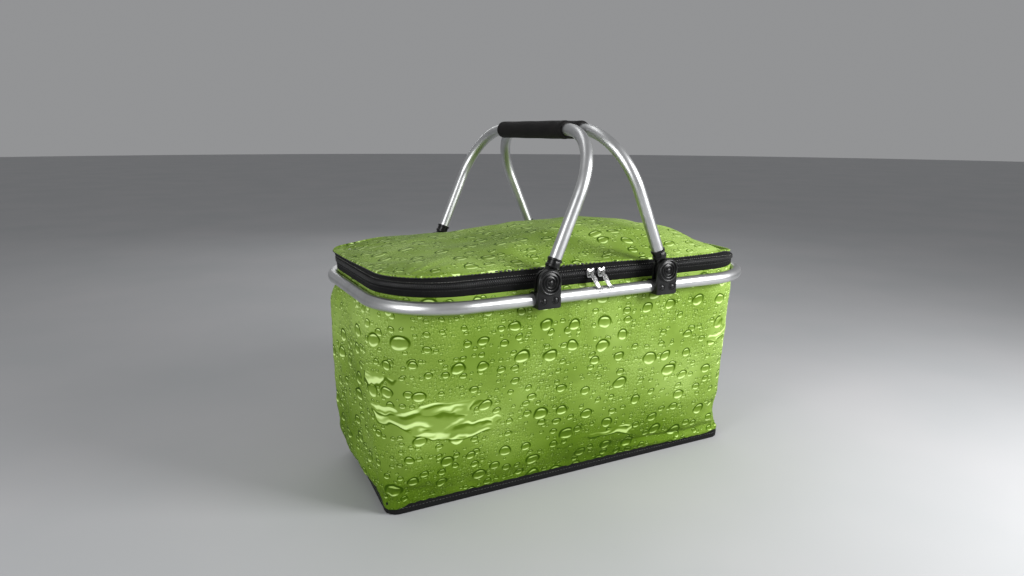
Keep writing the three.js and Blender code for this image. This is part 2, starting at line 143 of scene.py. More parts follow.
# ---- Mesh tools ----
class Shape:
    """Points and faces of one piece, added part by part."""

    def __init__(self):
        self.points = []
        self.faces = []
        self.count = 0

    def add(self, part, place=None):
        """Adds points and faces, moved to a place."""
        points, faces = part
        points = np.asarray(points, float).reshape(-1, 3)
        if place is not None:
            matrix = np.array(place)
            points = points @ matrix[:3, :3].T + matrix[:3, 3]
        self.points.append(points)
        self.faces += [[self.count + i for i in face] for face in faces]
        self.count += len(points)
        return self

    def build(self, name, material, sharp=40):
        """The shape as an object. Edges over sharp degrees are sharp."""
        mesh = bpy.data.meshes.new(name)
        mesh.from_pydata(np.concatenate(self.points).tolist(), [], self.faces)
        bm = bmesh.new()
        bm.from_mesh(mesh)
        bmesh.ops.recalc_face_normals(bm, faces=bm.faces)
        bm.to_mesh(mesh)
        bm.free()
        mesh.materials.append(material)
        mesh.shade_smooth()
        mesh.set_sharp_from_angle(angle=math.radians(sharp))
        piece = bpy.data.objects.new(name, mesh)
        bpy.context.scene.collection.objects.link(piece)
        return piece

    def piece(self, name, material, body, slot, *nodes, sharp=40):
        """The shape as a piece that rides on a body and stands for its CAD nodes."""
        piece = self.build(name, material, sharp)
        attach(piece, body)
        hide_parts(*nodes)
        return piece


def unit(vectors):
    """Vectors of length 1."""
    return vectors / np.maximum(np.linalg.norm(vectors, axis=-1, keepdims=True), 1e-12)


def smooth_step(value, low, high):
    """0 at low and 1 at high, smooth between; low may be the larger."""
    t = np.clip((value - low) / (high - low), 0, 1)
    return t * t * (3 - 2 * t)


def in_mm(points):
    """The X, Y and Z of points, in millimetres."""
    return np.moveaxis(points, -1, 0) / MM


def shift(points, x=0, z=0):
    """Points moved along X and Z by millimetres, each one number or one for every point."""
    still = 0 * points[..., 1]
    return points + np.stack((x + still, still, z + still), -1) * MM


def mix(start, end, share):
    """The value part of the way from start to end."""
    return start + (end - start) * share


def level_ring(points, z):
    """Points in X and Y as a ring in space, at one height or one for each."""
    return np.column_stack((points, np.broadcast_to(z, len(points))))


def bell(distance, width):
    """1 at no distance, falling smoothly to 0 past the width."""
    return np.exp(-((distance / width) ** 2))


def skin(rings, closed=False):
    """A skin over rings that have the same number of points, capped unless it closes on itself."""
    rows, count = len(rings), len(rings[0])
    faces = []
    for k in range(rows if closed else rows - 1):
        low, high = k * count, (k + 1) % rows * count
        for i in range(count):
            j = (i + 1) % count
            faces.append((low + i, low + j, high + j, high + i))
    if not closed:
        faces.append(tuple(range(count))[::-1])
        faces.append(tuple(range((rows - 1) * count, rows * count)))
    return np.concatenate(rings), faces


def bar(path, radius, sides=24):
    """A round bar along a path. The radius is one number, or one for each point."""
    path = np.asarray(path, float)
    radii = np.broadcast_to(radius, len(path))
    tangents = unit(np.gradient(path, axis=0))
    angles = 2 * np.pi * np.arange(sides) / sides
    across = np.cross(tangents[0], (0.0, 0.0, 1.0) if abs(tangents[0][2]) < 0.9 else (1.0, 0.0, 0.0))
    rings = []
    for point, tangent, r in zip(path, tangents, radii):
        across = unit(across - tangent * across.dot(tangent))
        beside = np.cross(tangent, across)
        rings.append(point + r * (np.cos(angles)[:, None] * across + np.sin(angles)[:, None] * beside))
    return skin(rings)


def pipe(path, radius, wall, sides=40):
    """A hollow tube along a path, open at both ends."""
    outer, inner = (bar(path, r, sides)[0].reshape(-1, sides, 3) for r in (radius, radius - wall))
    return skin([*outer, *inner[::-1]], closed=True)


def lathe(profile, sides=36):
    """A turning about +Z. The profile is (radius, height) from the axis round to the axis."""
    angles = 2 * np.pi * np.arange(sides) / sides
    circle = np.stack((np.cos(angles), np.sin(angles), 0 * angles), 1)
    return skin([circle * max(r, 1e-6) + (0, 0, height) for r, height in profile])


def dome_profile(radius, low, high, steps=6):
    """Profile of a rounded head: flat below, a quarter of an ellipse above."""
    turn = np.linspace(0, np.pi / 2, steps)
    return [(0, low), *((radius * math.cos(a), low + (high - low) * math.sin(a)) for a in turn)]


def outwards_of(points):
    """Outward normals of an anticlockwise ring in X and Y."""
    ahead = np.roll(points, -1, 0) - np.roll(points, 1, 0)
    return unit(np.stack((ahead[:, 1], -ahead[:, 0]), 1))


def plate(outline, low, high, bevel):
    """An outline in X and Y raised from low to high, with both rims rounded."""
    outline = np.asarray(outline, float)
    out = outwards_of(outline)
    foot = [(bevel, low), (bevel * 0.3, low + bevel * 0.3), (0, low + bevel)]
    head = [(0, high - bevel), (bevel * 0.3, high - bevel * 0.3), (bevel, high)]
    return skin([level_ring(outline - out * inset, z) for inset, z in foot + head])


def rounded(half_x, half_y, radius, steps=5, centre=(0, 0)):
    """Outline of a small rounded rectangle, anticlockwise."""
    points = []
    for quarter, (sx, sy) in enumerate(((1, 1), (-1, 1), (-1, -1), (1, -1))):
        for k in range(steps + 1):
            angle = math.pi / 2 * (quarter + k / steps)
            x = centre[0] + sx * (half_x - radius) + radius * math.cos(angle)
            y = centre[1] + sy * (half_y - radius) + radius * math.sin(angle)
            points.append((x, y))
    return np.array(points)


def place(origin, axis):
    """Matrix that takes the origin to a point and +Z to an axis."""
    return Matrix.Translation(Vector(origin)) @ Vector(axis).to_track_quat("Z", "Y").to_matrix().to_4x4()


def ripple(u, v, wavelength, seed, spread=math.pi):
    """Smooth random relief from about -1 to 1: a few crossing waves of about one wavelength."""
    chance = random.Random(seed)
    total, waves = 0, 7
    for _ in range(waves):
        angle = chance.uniform(-spread, spread)
        length = wavelength * chance.uniform(0.65, 1.5)
        phase = chance.uniform(0, 2 * math.pi)
        total = total + np.sin(2 * np.pi * (u * math.cos(angle) + v * math.sin(angle)) / length + phase)
    return total / (waves / 2)


# ---- Outlines round the bag ----
CORNER_STEPS, END_STEPS, LONG_STEPS = 16, 24, 64
RING = 4 * CORNER_STEPS + 2 * END_STEPS + 2 * LONG_STEPS
FIRST_CORNER = LONG_STEPS // 2  # ring index where the back's left half ends and the zip begins


def outline(half_x, half_y, radius, fine=1):
    """A rounded rectangle of RING * fine points, anticlockwise from the middle of the back."""
    far, near = half_x - radius, half_y - radius
    centres = np.array([(-far, near), (-far, -near), (far, -near), (far, near)])
    runs = []
    for quarter, centre in enumerate(centres):
        turn = np.arange(CORNER_STEPS * fine) / (CORNER_STEPS * fine)
        angle = np.pi / 2 * (1 + quarter + turn)
        arc = centre + radius * np.stack((np.cos(angle), np.sin(angle)), 1)
        leave = np.pi / 2 * (2 + quarter)
        outwards = radius * np.array((np.cos(leave), np.sin(leave)))
        count = (LONG_STEPS if quarter % 2 else END_STEPS) * fine
        share = (np.arange(count) / count)[:, None]
        start = centre + outwards
        end = centres[(quarter + 1) % 4] + outwards
        runs += [arc, start + (end - start) * share]
    return np.roll(np.concatenate(runs), LONG_STEPS * fine // 2, axis=0)


def lid_outline(fine=1):
    """The lid's seam, seen from above."""
    left, right = outline(*LID_EDGE["left"], fine), outline(*LID_EDGE["right"], fine)
    return np.where(left[:, :1] < 0, left, right)


def slump(points):
    """The lid's soft edge hangs lower along the front and at both ends, most at the right-hand one."""
    x, y, z = in_mm(points)
    lowest = 95  # where the front hangs lowest
    front = mix(*FRONT_DROP, bell(x - lowest, np.where(x < lowest, 55, 100)))
    front = front * smooth_step(y, -55, -120)
    left = mix(*LEFT_DROP, smooth_step(y, -90, 40)) * smooth_step(-x, 152, 205)
    bent = smooth_step(x, 152, 215)
    right = mix(*RIGHT_DROP, smooth_step(y, -112, -70)) * bent
    level = ZIP_Z / MM + 1.5 - 7.5 * bent  # the slump starts above this height
    drop = np.maximum(front, np.maximum(left, right)) * smooth_step(z, level, LID_EDGE_Z / MM)
    return shift(points, z=-drop)


def seam_ring(out, z, fine=1):
    """The zip band's outline at a height, moved out by a distance."""
    share = np.clip((z - ZIP_Z) / (LID_EDGE_Z - ZIP_Z), 0, 1)
    points = outline(*ZIP_EDGE, fine) * (1 - share) + lid_outline(fine) * share
    return slump(level_ring(points + outwards_of(points) * out, z))


def zip_part(ring):
    """The stretch of a ring that the zip runs along: all but the straight back."""
    start = FIRST_CORNER * (len(ring) // RING)
    return ring[start : len(ring) - start + 1]


def along(path, pitch, offset=0.0):
    """Points at an even pitch along a path, with the directions there."""
    path = np.asarray(path)
    lengths = np.concatenate(([0], np.cumsum(np.linalg.norm(np.diff(path, axis=0), axis=1))))
    at = np.arange(offset + pitch / 2, lengths[-1], pitch)
    points = np.stack([np.interp(at, lengths, path[:, k]) for k in range(3)], 1)
    nearby = np.stack([np.interp(at + pitch * 0.1, lengths, path[:, k]) for k in range(3)], 1)
    return points, unit(nearby - points)


def strip(section, fine=2, whole=False):
    """A band round the bag with a closed section of (out, z) points. It stops at the back's ends,
    unless it is whole."""
    rings = [seam_ring(out, z, fine) for out, z in section]
    if not whole:
        rings = [zip_part(ring) for ring in rings]
    return skin(list(np.stack(rings, 1)), closed=whole)


def stitches(paths, length, thick, pitch, seed, uneven=0.12):
    """Small rounded stitches along paths, each a bar that dips into the cloth at both ends."""
    chance = random.Random(seed)
    shape = Shape()
    for path in paths:
        points, ahead = along(path, pitch)
        for point, direction in zip(points, ahead):
            size = 1 + chance.uniform(-1, 1) * uneven * 1.5
            tilt = chance.uniform(-1, 1) * uneven
            run = size * length * (direction / 2 + np.array((0, 0, tilt)))
            out = unit(np.array((direction[1], -direction[0], 0)))
            point = point + np.array((0, 0, chance.uniform(-1, 1) * uneven * thick))
            stops = [point + run * share for share in (-1, -0.6, 0, 0.6, 1)]
            raised = (-0.5, 0.2, 0.45, 0.2, -0.5)
            bent = [stop + out * thick * up for stop, up in zip(stops, raised)]
            radii = size * thick / 2 * np.array((0.5, 0.9, 1, 0.9, 0.5))
            shape.add(bar(bent, radii, sides=6))
    return shape


# ---- Grids of cloth ----
def grid_faces(rows, cols, wrap):
    """Faces of a grid of points, whose columns join up if it wraps."""
    faces = []
    for i in range(rows - 1):
        for j in range(cols if wrap else cols - 1):
            k = (j + 1) % cols
            faces.append((i * cols + j, i * cols + k, (i + 1) * cols + k, (i + 1) * cols + j))
    return faces


def grid_normals(grid, wrap):
    """Normals of a grid whose columns run anticlockwise and whose rows run up or inwards."""
    up = np.gradient(grid, axis=0)
    if wrap:
        ahead = np.roll(grid, -1, 1) - np.roll(grid, 1, 1)
    else:
        ahead = np.gradient(grid, axis=1)
    return unit(np.cross(ahead, up))


def finer(grid, wrap=False):
    """Twice as many points up and along a grid, on smooth curves through its own points."""
    for axis, joined in ((0, False), (1, wrap)):
        points = np.moveaxis(grid, axis, 0)
        count = len(points)
        spans = count if joined else count - 1
        t = np.arange(2 * spans + (0 if joined else 1)) / 2
        whole = np.minimum(t.astype(int), spans - 1)
        part = (t - whole)[:, None, None]
        near = [whole + step for step in (-1, 0, 1, 2)]
        a, b, c, d = (points[i % count if joined else np.clip(i, 0, count - 1)] for i in near)
        curve = 2 * b + (c - a) * part
        curve = curve + (2 * a - 5 * b + 4 * c - d) * part**2 + (3 * b - a - 3 * c + d) * part**3
        grid = np.moveaxis(curve / 2, 0, axis)
    return grid


def drape(grid, wrap, held, pressure, slack, most, frames=24):
    """Cloth simulation of a grid. held marks the sewn points, slack is the share that the cloth is
    larger than its frame, and most is (least, most) that it may stand off its start."""
    rows, cols, _ = grid.shape
    mesh = bpy.data.meshes.new("drape")
    mesh.from_pydata(grid.reshape(-1, 3).tolist(), [], grid_faces(rows, cols, wrap))
    cloth = bpy.data.objects.new("drape", mesh)
    bpy.context.scene.collection.objects.link(cloth)
    sewn = cloth.vertex_groups.new(name="sewn")
    sewn.add(np.flatnonzero(held).tolist(), 1.0, "REPLACE")
    modifier = cloth.modifiers.new("Cloth", "CLOTH")
    settings = modifier.settings
    settings.quality = 7
    settings.mass = 0.2
    settings.tension_stiffness = 30
    settings.compression_stiffness = 30
    settings.shear_stiffness = 12
    settings.bending_stiffness = 0.35
    settings.use_pressure = True
    settings.uniform_pressure_force = pressure
    settings.shrink_min = -slack
    settings.vertex_group_mass = "sewn"
    settings.effector_weights.gravity = 0.25
    modifier.point_cache.frame_start = 1
    modifier.point_cache.frame_end = frames
    scene = bpy.context.scene
    for step in range(1, frames + 1):
        scene.frame_set(step)
    posed = cloth.evaluated_get(bpy.context.evaluated_depsgraph_get())
    settled = np.empty(rows * cols * 3, np.float32)
    posed.data.vertices.foreach_get("co", settled)
    bpy.data.objects.remove(cloth)
    bpy.data.meshes.remove(mesh)
    scene.frame_set(1)
    moved = settled.reshape(grid.shape).astype(float) - grid
    normals = grid_normals(grid, wrap)
    off = (moved * normals).sum(-1, keepdims=True)
    sideways = moved - normals * off
    return grid + sideways * 0.5 + normals * np.clip(off, *most)


def shell(outer, inner, wrap):
    """Closed skin between two grids that have the same points."""
    rows, cols, _ = outer.shape
    size = rows * cols
    faces = grid_faces(rows, cols, wrap)
    faces += [tuple(size + i for i in face[::-1]) for face in faces]
    if wrap:
        edges = [list(range(cols)), [size - cols + j for j in range(cols)]]
        loops = [edge + edge[:1] for edge in edges]
    else:
        right = [i * cols + cols - 1 for i in range(rows)]
        left = [i * cols for i in range(rows)]
        loops = [list(range(cols)) + right[1:] + list(range(size - cols, size))[-2::-1] + left[-2::-1]]
    for loop in loops:
        faces += [(a, b, size + b, size + a) for a, b in zip(loop, loop[1:])]
    return np.concatenate((outer.reshape(-1, 3), inner.reshape(-1, 3))), faces


def lay_print(piece, coordinates):
    """Stores where each face corner lies on the printed cloth, in metres."""
    loops = np.empty(len(piece.data.loops), np.int32)
    piece.data.loops.foreach_get("vertex_index", loops)
    values = coordinates[loops]
    layer = piece.data.attributes.new("cloth", "FLOAT_VECTOR", "CORNER")
    layer.data.foreach_set("vector", values.astype(np.float32).ravel())


# ---- Materials ----
def srgb(red, green, blue):
    """Linear colour from 0 to 255 display values."""
    values = [channel / 255 for channel in (red, green, blue)]
    return (*(v / 12.92 if v <= 0.04045 else ((v + 0.055) / 1.055) ** 2.4 for v in values), 1)


class Finish:
    """One material's node tree, built step by step."""

    def __init__(self, name, **values):
        self.material = bpy.data.materials.new(name)
        self.material.use_nodes = True
        self.tree = self.material.node_tree
        self.shader = self.tree.nodes["Principled BSDF"]
        for key, value in values.items():
            self.feed(self.shader.inputs[key.replace("_", " ")], value)

    def feed(self, socket, value):
        """A number or another node's output goes into a socket."""
        if isinstance(value, bpy.types.NodeSocket):
            self.tree.links.new(value, socket)
        else:
            socket.default_value = value

    def node(self, kind, values=(), **settings):
        node = self.tree.nodes.new("ShaderNode" + kind)
        for key, value in settings.items():
            setattr(node, key, value)
        for key, value in dict(values).items():
            self.feed(node.inputs[key], value)
        return node

    def math(self, operation, *values):
        return self.node("Math", enumerate(values), operation=operation).outputs[0]

    def vector(self, operation, *values):
        node = self.node("VectorMath", enumerate(values), operation=operation)
        return node.outputs["Value" if operation == "LENGTH" else "Vector"]

    def fade(self, value, start, end):
        """0 at start and 1 at end, smooth between; start may be the larger."""
        values = {"Value": value, "From Min": start, "From Max": end}
        return self.node("MapRange", values, interpolation_type="SMOOTHSTEP").outputs["Result"]

    def chain(self, operation, values):
        result = values[0]
        for value in values[1:]:
            result = self.math(operation, result, value)
        return result

    def product(self, *values):
        return self.chain("MULTIPLY", values)

    def total(self, *values):
        return self.chain("ADD", values)

    def band(self, value, rise, fall):
        """1 between two fades, 0 outside them."""
        return self.product(self.fade(value, *rise), self.fade(value, *fall))

    def over(self, below, above, where):
        """One shade laid over another where it lies."""
        clear = self.math("SUBTRACT", 1.0, where)
        return self.total(self.product(below, clear), above)

    def split(self, vector):
        return self.node("SeparateXYZ", {0: vector}).outputs

    def noise(self, vector, scale, detail=2.0, roughness=0.5, output="Fac"):
        values = {"Vector": vector, "Scale": scale, "Detail": detail, "Roughness": roughness}
        return self.node("TexNoise", values).outputs[output]

    def cells(self, vector, scale, **settings):
        values = {"Vector": vector, "Scale": scale}
        return self.node("TexVoronoi", values, **settings).outputs["Distance"]

    def warp(self, vector, by, scale, reach):
        """A vector pushed about by the smooth noise of another one."""
        push = self.vector("SUBTRACT", self.noise(by, scale, 1.0, output="Color"), (0.5, 0.5, 0.5))
        return self.vector("ADD", vector, self.vector("MULTIPLY", push, (*reach, 0)))

    def place(self):
        """Position in the object's own space, in metres."""
        return self.node("TexCoord").outputs["Object"]

    def ramp(self, value, *stops):
        node = self.node("ValToRGB", {"Fac": value})
        elements = node.color_ramp.elements
        for index, (position, colour) in enumerate(stops):
            element = elements[index] if index < 2 else elements.new(position)
            element.position = position
            element.color = colour
        return node.outputs["Color"]

    def colour(self, value, *stops):
        """Base colour from a ramp of display colours."""
        stops = [(position, srgb(*colour)) for position, colour in stops]
        self.feed(self.shader.inputs["Base Color"], self.ramp(value, *stops))

    def roughness(self, value, low, high):
        spread = {"Value": value, "To Min": low, "To Max": high}
        self.feed(self.shader.inputs["Roughness"], self.node("MapRange", spread).outputs["Result"])

    def surface(self, value, low, high, rough):
        """Colour and roughness from one pattern. low and high are (level, display colour)."""
        self.colour(value, low, high)
        self.roughness(value, *rough)

    def bump(self, height, distance, strength=1.0):
        """Relief of the given depth in metres, on top of any relief added before."""
        values = {"Height": height, "Distance": distance, "Strength": strength}
        socket = self.shader.inputs["Normal"]
        if socket.is_linked:
            values["Normal"] = socket.links[0].from_socket
        self.feed(socket, self.node("Bump", values).outputs["Normal"])

    def weave(self, vector, pitch, depth):
        """Over-and-under relief of crossing threads."""
        parts = self.split(vector)
        x, y, z = (self.math("SINE", self.product(parts[k], 2 * math.pi / pitch)) for k in range(3))
        self.bump(self.total(self.product(x, y), self.product(y, z), self.product(x, z)), depth)


def drop_layer(finish, cloth, cell, least, most, share, seed):
    """One size of printed water drop: its shade, and where its drops lie. cell is their spacing,
    least and most are radii, and share is how many cells hold a drop."""
    spaced = finish.vector("MULTIPLY", cloth, (0.86 / cell, 1.06 / cell, 0))
    spaced = finish.vector("ADD", spaced, (seed * 7.3, seed * 3.1, 0))
    spaced = finish.warp(spaced, spaced, 1.5, (0.26, 0.22))
    values = {"Vector": spaced, "Scale": 1.0, "Randomness": 0.66}
    cells = finish.node("TexVoronoi", values, voronoi_dimensions="2D").outputs
    chance = finish.split(cells["Color"])
    radius = finish.math("MULTIPLY_ADD", chance["X"], (most - least) / cell, least / cell)
    off = finish.vector("SUBTRACT", spaced, cells["Position"])
    off = finish.vector("MULTIPLY", finish.vector("DIVIDE", off, radius), (1, 1, 0))
    far = finish.vector("LENGTH", off)
    height = finish.split(off)["Y"]
    below = finish.math("MULTIPLY", height, -1.0)
    # A drop is lit at its foot, has a short glint at its head and a dark edge round it.
    foot = finish.product(finish.band(far, (0.46, 0.76), (0.98, 0.86)), finish.fade(below, 0.28, 0.78))
    glint = finish.product(finish.band(far, (0.42, 0.6), (0.86, 0.74)), finish.fade(height, 0.36, 0.62))
    edge = finish.product(finish.band(far, (0.74, 0.95), (1.16, 1.0)), finish.fade(below, 0.95, -0.35))
    inner = finish.product(finish.fade(far, 1.02, 0.9), finish.math("MULTIPLY_ADD", below, 0.4, -0.2))
    lit = finish.product(foot, 1.15), finish.product(glint, 1.3), finish.product(edge, -0.85)
    shade = finish.total(*lit, inner)
    present = finish.math("LESS_THAN", chance["Y"], share)
    return finish.product(shade, present), finish.product(finish.fade(far, 1.25, 1.05), present)


def pool(finish, cloth, centre, reach, scale, seed):
    """A spread of joined water near one place: the shade of its banks, and where it lies."""
    near = finish.vector("SUBTRACT", cloth, (*centre, 0))
    distance = finish.vector("LENGTH", finish.vector("DIVIDE", near, (*reach, 1)))
    nearness = finish.math("MULTIPLY_ADD", finish.fade(distance, 1.0, 0.3), 0.24, -0.24)
    spaced = finish.vector("MULTIPLY", near, (scale * 0.42, scale * 1.2, 0))
    spaced = finish.warp(spaced, near, 55.0, (0.16, 0.26))
    spaced = finish.vector("ADD", spaced, (seed * 3.7, seed * 2.3, 0))
    field = finish.total(finish.noise(spaced, 1.0, 2.6), nearness)
    above = finish.vector("ADD", spaced, (0, 0.05, 0))
    above = finish.total(finish.noise(above, 1.0, 2.6), nearness)
    slope = finish.math("SUBTRACT", above, field)
    rising, falling = finish.fade(slope, 0.002, 0.022), finish.fade(slope, -0.002, -0.022)
    # The banks: the levels between which each lies, the side that it faces and its shade.
    banks = [
        ((0.512, 0.524), (0.56, 0.54), falling, 1.1),
        ((0.506, 0.524), (0.6, 0.55), rising, 1.1),
        ((0.55, 0.565), (0.63, 0.58), falling, -0.6),
        ((0.485, 0.505), (0.52, 0.508), rising, -0.7),
    ]
    shades = [finish.product(finish.band(field, up, down), side, tone) for up, down, side, tone in banks]
    return finish.total(*shades), finish.fade(field, 0.49, 0.515)


def green_print_and_painted_light():
    """Coated green cloth with a printed pattern of water drops and pools, and painted shade and light
    over its tone.
    """
    finish = Finish("green_print_and_painted_light", Specular_IOR_Level=0.05)
    cloth = finish.node("Attribute", attribute_name="cloth").outputs["Vector"]
    # Pools on the bag: centre and reach in metres, scale and seed.
    pools = [
        ((-0.165, 0.104), (0.15, 0.052), 18.0, 12.62),
        ((-0.262, 0.128), (0.09, 0.05), 14.0, 15.11),
        ((0.2, 0.158), (0.11, 0.05), 18.0, 5.98),
        ((0.02, 0.04), (0.12, 0.03), 18.0, 13.45),
    ]
    pools = [pool(finish, cloth, *values) for values in pools]
    # Drops, small to large: spacing, least and most radius, share of places filled, seed and strength.
    layers = [
        (0.0046, 0.0007, 0.0016, 0.80, 4, 0.7),
        (0.0088, 0.0011, 0.0026, 0.66, 3, 0.9),
        (0.0165, 0.0020, 0.0046, 0.66, 2, 1.0),
        (0.0290, 0.0042, 0.0084, 0.80, 1, 1.0),
    ]
    patches = finish.fade(finish.noise(cloth, 24.0, 1.0), 0.4, 0.56)
    mist = finish.math("SUBTRACT", finish.noise(cloth, 560.0, 1.0), 0.5)
    shade = finish.product(mist, patches, 0.9)
    for rank, (*values, strength) in enumerate(layers):
        drops, where = drop_layer(finish, cloth, *values)
        if rank == 0:
            drops = finish.product(drops, patches)
        shade = finish.over(shade, finish.product(drops, strength), where)
    for banks, where in pools:
        shade = finish.over(shade, banks, where)
    # The cloth's own uneven tone, plus painted shade towards the base and painted light to the right of
    # the front.
    tone = finish.math("SUBTRACT", finish.noise(cloth, 8.0, 2.0, 0.55), 0.5)
    across, height = finish.split(cloth)["X"], finish.split(cloth)["Y"]
    # low darkens the cloth towards the base: painted shade.
    low, lid = finish.fade(height, 0.12, 0.0), finish.fade(height, 0.245, 0.255)
    # Painted light: the right of the front is made lighter, where the key lamp falls.
    painted_light_right = finish.band(across, (0.0, 0.2), (0.5, 0.3))
    tone_and_painted_light = finish.product(tone, 1.3), finish.product(low, -0.6), finish.product(painted_light_right, 0.22)
    shade = finish.total(shade, *tone_and_painted_light)
    contrast = finish.math("MULTIPLY_ADD", lid, 0.1, 1.0)
    shade = finish.math("MULTIPLY_ADD", shade, contrast, finish.product(lid, -0.03))
    level = finish.math("MULTIPLY_ADD", shade, 0.5, 0.5)
    ends = (0.0, (50, 77, 2)), (1.0, (208, 234, 152))
    between = (0.3, (90, 119, 28)), (0.5, (122, 150, 61)), (0.72, (162, 190, 102))
    finish.colour(level, *ends, *between)
    finish.roughness(finish.noise(cloth, 40.0, 3.0), 0.44, 0.62)
    finish.weave(cloth, 0.9 * MM, 0.05 * MM)
    finish.bump(finish.noise(cloth, 120.0, 3.0), 0.5 * MM, 0.6)
    return finish.material


def black_cloth(name, pitch, dark, light):
    """Woven black tape or binding, with a rib, dust and a soft sheen."""
    finish = Finish(name, Sheen_Weight=0.02, Sheen_Roughness=0.45, Specular_IOR_Level=0.2)
    where = finish.place()
    wear = finish.noise(where, 90.0, 3.0)
    finish.surface(wear, (0.3, dark), (0.85, light), (0.62, 0.88))
    finish.weave(where, pitch, 0.14 * MM)
    finish.bump(wear, 0.4 * MM, 0.5)
    return finish.material


def thread(name, colour):
    """Twisted sewing thread."""
    finish = Finish(name, Sheen_Weight=0.3, Roughness=0.6)
    fibres = finish.noise(finish.place(), 2200.0)
    finish.colour(fibres, (0.25, [channel * 0.6 for channel in colour]), (0.75, colour))
    finish.bump(fibres, 0.12 * MM)
    return finish.material


def satin_aluminium():
    """Anodised tube: bright, faintly brushed along its length, with handling marks."""
    finish = Finish("satin_aluminium", Metallic=1.0)
    where = finish.place()
    brushed = finish.noise(finish.vector("MULTIPLY", where, (180, 180, 1500)), 1.0, 3.0)
    cloudy = finish.noise(where, 22.0, 4.0, 0.6)
    finish.colour(cloudy, (0.25, (186, 187, 188)), (0.8, (222, 223, 223)))
    rough = finish.total(finish.product(brushed, 0.35), finish.product(cloudy, 0.65))
    finish.roughness(rough, 0.3, 0.46)
    finish.bump(brushed, 0.012 * MM)
    marks = finish.noise(where, 160.0, 5.0, 0.7)
    finish.bump(finish.fade(marks, 0.6, 0.72), 0.03 * MM, 0.6)
    return finish.material


def black_plastic(name, dark, light):
    """Moulded black nylon: fine grain, and a little lighter on sharp edges and ridges. dark and light
    are greys.
    """
    finish = Finish(name, Specular_IOR_Level=0.35, Coat_Weight=0.08, Coat_Roughness=0.2)
    where = finish.place()
    convexity = finish.node("NewGeometry").outputs["Pointiness"]
    cloudy = finish.noise(where, 120.0, 3.0)
    # Lighter on sharp edges and ridges, and unevenly with the cloudy grain.
    level = finish.total(finish.fade(convexity, 0.52, 0.62), finish.product(cloudy, 0.35))
    finish.colour(level, (0.1, [dark] * 3), (0.95, [light] * 3))
    finish.roughness(cloudy, 0.24, 0.44)
    finish.bump(finish.noise(where, 1400.0), 0.05 * MM, 0.7)
    return finish.material


def grip_foam():
    """Closed-cell black foam: fine pores and a dull skin."""
    finish = Finish("grip_foam", Specular_IOR_Level=0.18)
    where = finish.place()
    dull = finish.noise(where, 60.0, 4.0)
    finish.surface(dull, (0.25, (12, 11, 11)), (0.8, (25, 23, 23)), (0.6, 0.85))
    finish.bump(finish.cells(where, 900.0), 0.25 * MM, 0.8)
    return finish.material


def foil():
    """Crinkled aluminised film on thin foam."""
    finish = Finish("foil", Metallic=0.85)
    where = finish.place()
    creases = finish.noise(where, 150.0, 5.0, 0.65)
    finish.surface(creases, (0.2, (176, 179, 182)), (0.8, (222, 224, 226)), (0.2, 0.42))
    finish.bump(finish.cells(where, 75.0, feature="DISTANCE_TO_EDGE"), 1.5 * MM, 0.6)
    finish.bump(creases, 1.0 * MM, 0.7)
    return finish.material


def white_foam():
    """Expanded foam sheet with beads."""
    finish = Finish("white_foam", Subsurface_Weight=0.1)
    beads = finish.cells(finish.place(), 320.0)
    finish.surface(beads, (0.0, (240, 238, 232)), (0.9, (208, 205, 196)), (0.75, 0.95))
    finish.bump(beads, 0.5 * MM)
    return finish.material


def zip_metal():
    """Die-cast nickel-plated zip metal."""
    finish = Finish("zip_metal", Metallic=1.0)
    cast = finish.noise(finish.place(), 700.0, 4.0, 0.6)
    finish.surface(cast, (0.2, (138, 138, 137)), (0.8, (206, 206, 204)), (0.14, 0.36))
    finish.bump(cast, 0.05 * MM, 0.7)
    return finish.material


def board_plastic():
    """Grey fluted board with faint ribs."""
    finish = Finish("board_plastic")
    where = finish.place()
    ribs = finish.node("TexWave", {"Vector": where, "Scale": 45.0}, bands_direction="Y")
    cloudy = finish.noise(where, 35.0, 4.0)
    finish.surface(cloudy, (0.2, (58, 58, 60)), (0.8, (84, 84, 86)), (0.5, 0.75))
    finish.bump(ribs.outputs["Fac"], 0.5 * MM)
    return finish.material


GREEN = green_print_and_painted_light()
TAPE = black_cloth("zip_tape_cloth", 0.8 * MM, (2, 2, 3), (12, 12, 13))
BINDING = black_cloth("binding_cloth", 1.3 * MM, (4, 4, 5), (14, 14, 15))
BLACK_THREAD = thread("black_thread", (26, 26, 28))
GREY_THREAD = thread("grey_thread", (150, 150, 142))
ALUMINIUM = satin_aluminium()
PLASTIC = black_plastic("black_plastic", 3, 17)
COIL = black_plastic("coil_plastic", 16, 56)
GRIP = grip_foam()
FOIL = foil()
FOAM = white_foam()
METAL = zip_metal()
BOARD = board_plastic()


# ---- Bag ----
BAG_ROWS = 41


def wall_ring(z, inset=0.0):
    """The bag's outline at a height, set in from its outer face."""
    half_x, half_y, radius = (np.interp(z, WALL[:, 0], WALL[:, k]) for k in (1, 2, 3))
    points = outline(half_x, half_y, radius)
    return level_ring(points - outwards_of(points) * inset, z)


def loose(z):
    """How free the bag's cloth is at a height in millimetres: 0 at the base and under the rim."""
    return smooth_step(z, WALL[0, 0] / MM, 34) * smooth_step(z, TUCK_Z / MM, 190)


def draw_in(points):
    """The soft base isn't square: its back left corner is pulled under the bag."""
    x, y, z = in_mm(points)
    share = smooth_step(-x, 110, 215) * smooth_step(z, 44, 12) * np.clip((y + 84) / 170, 0, 1.1)
    return shift(points, x=BASE_DRAWN_IN * share)


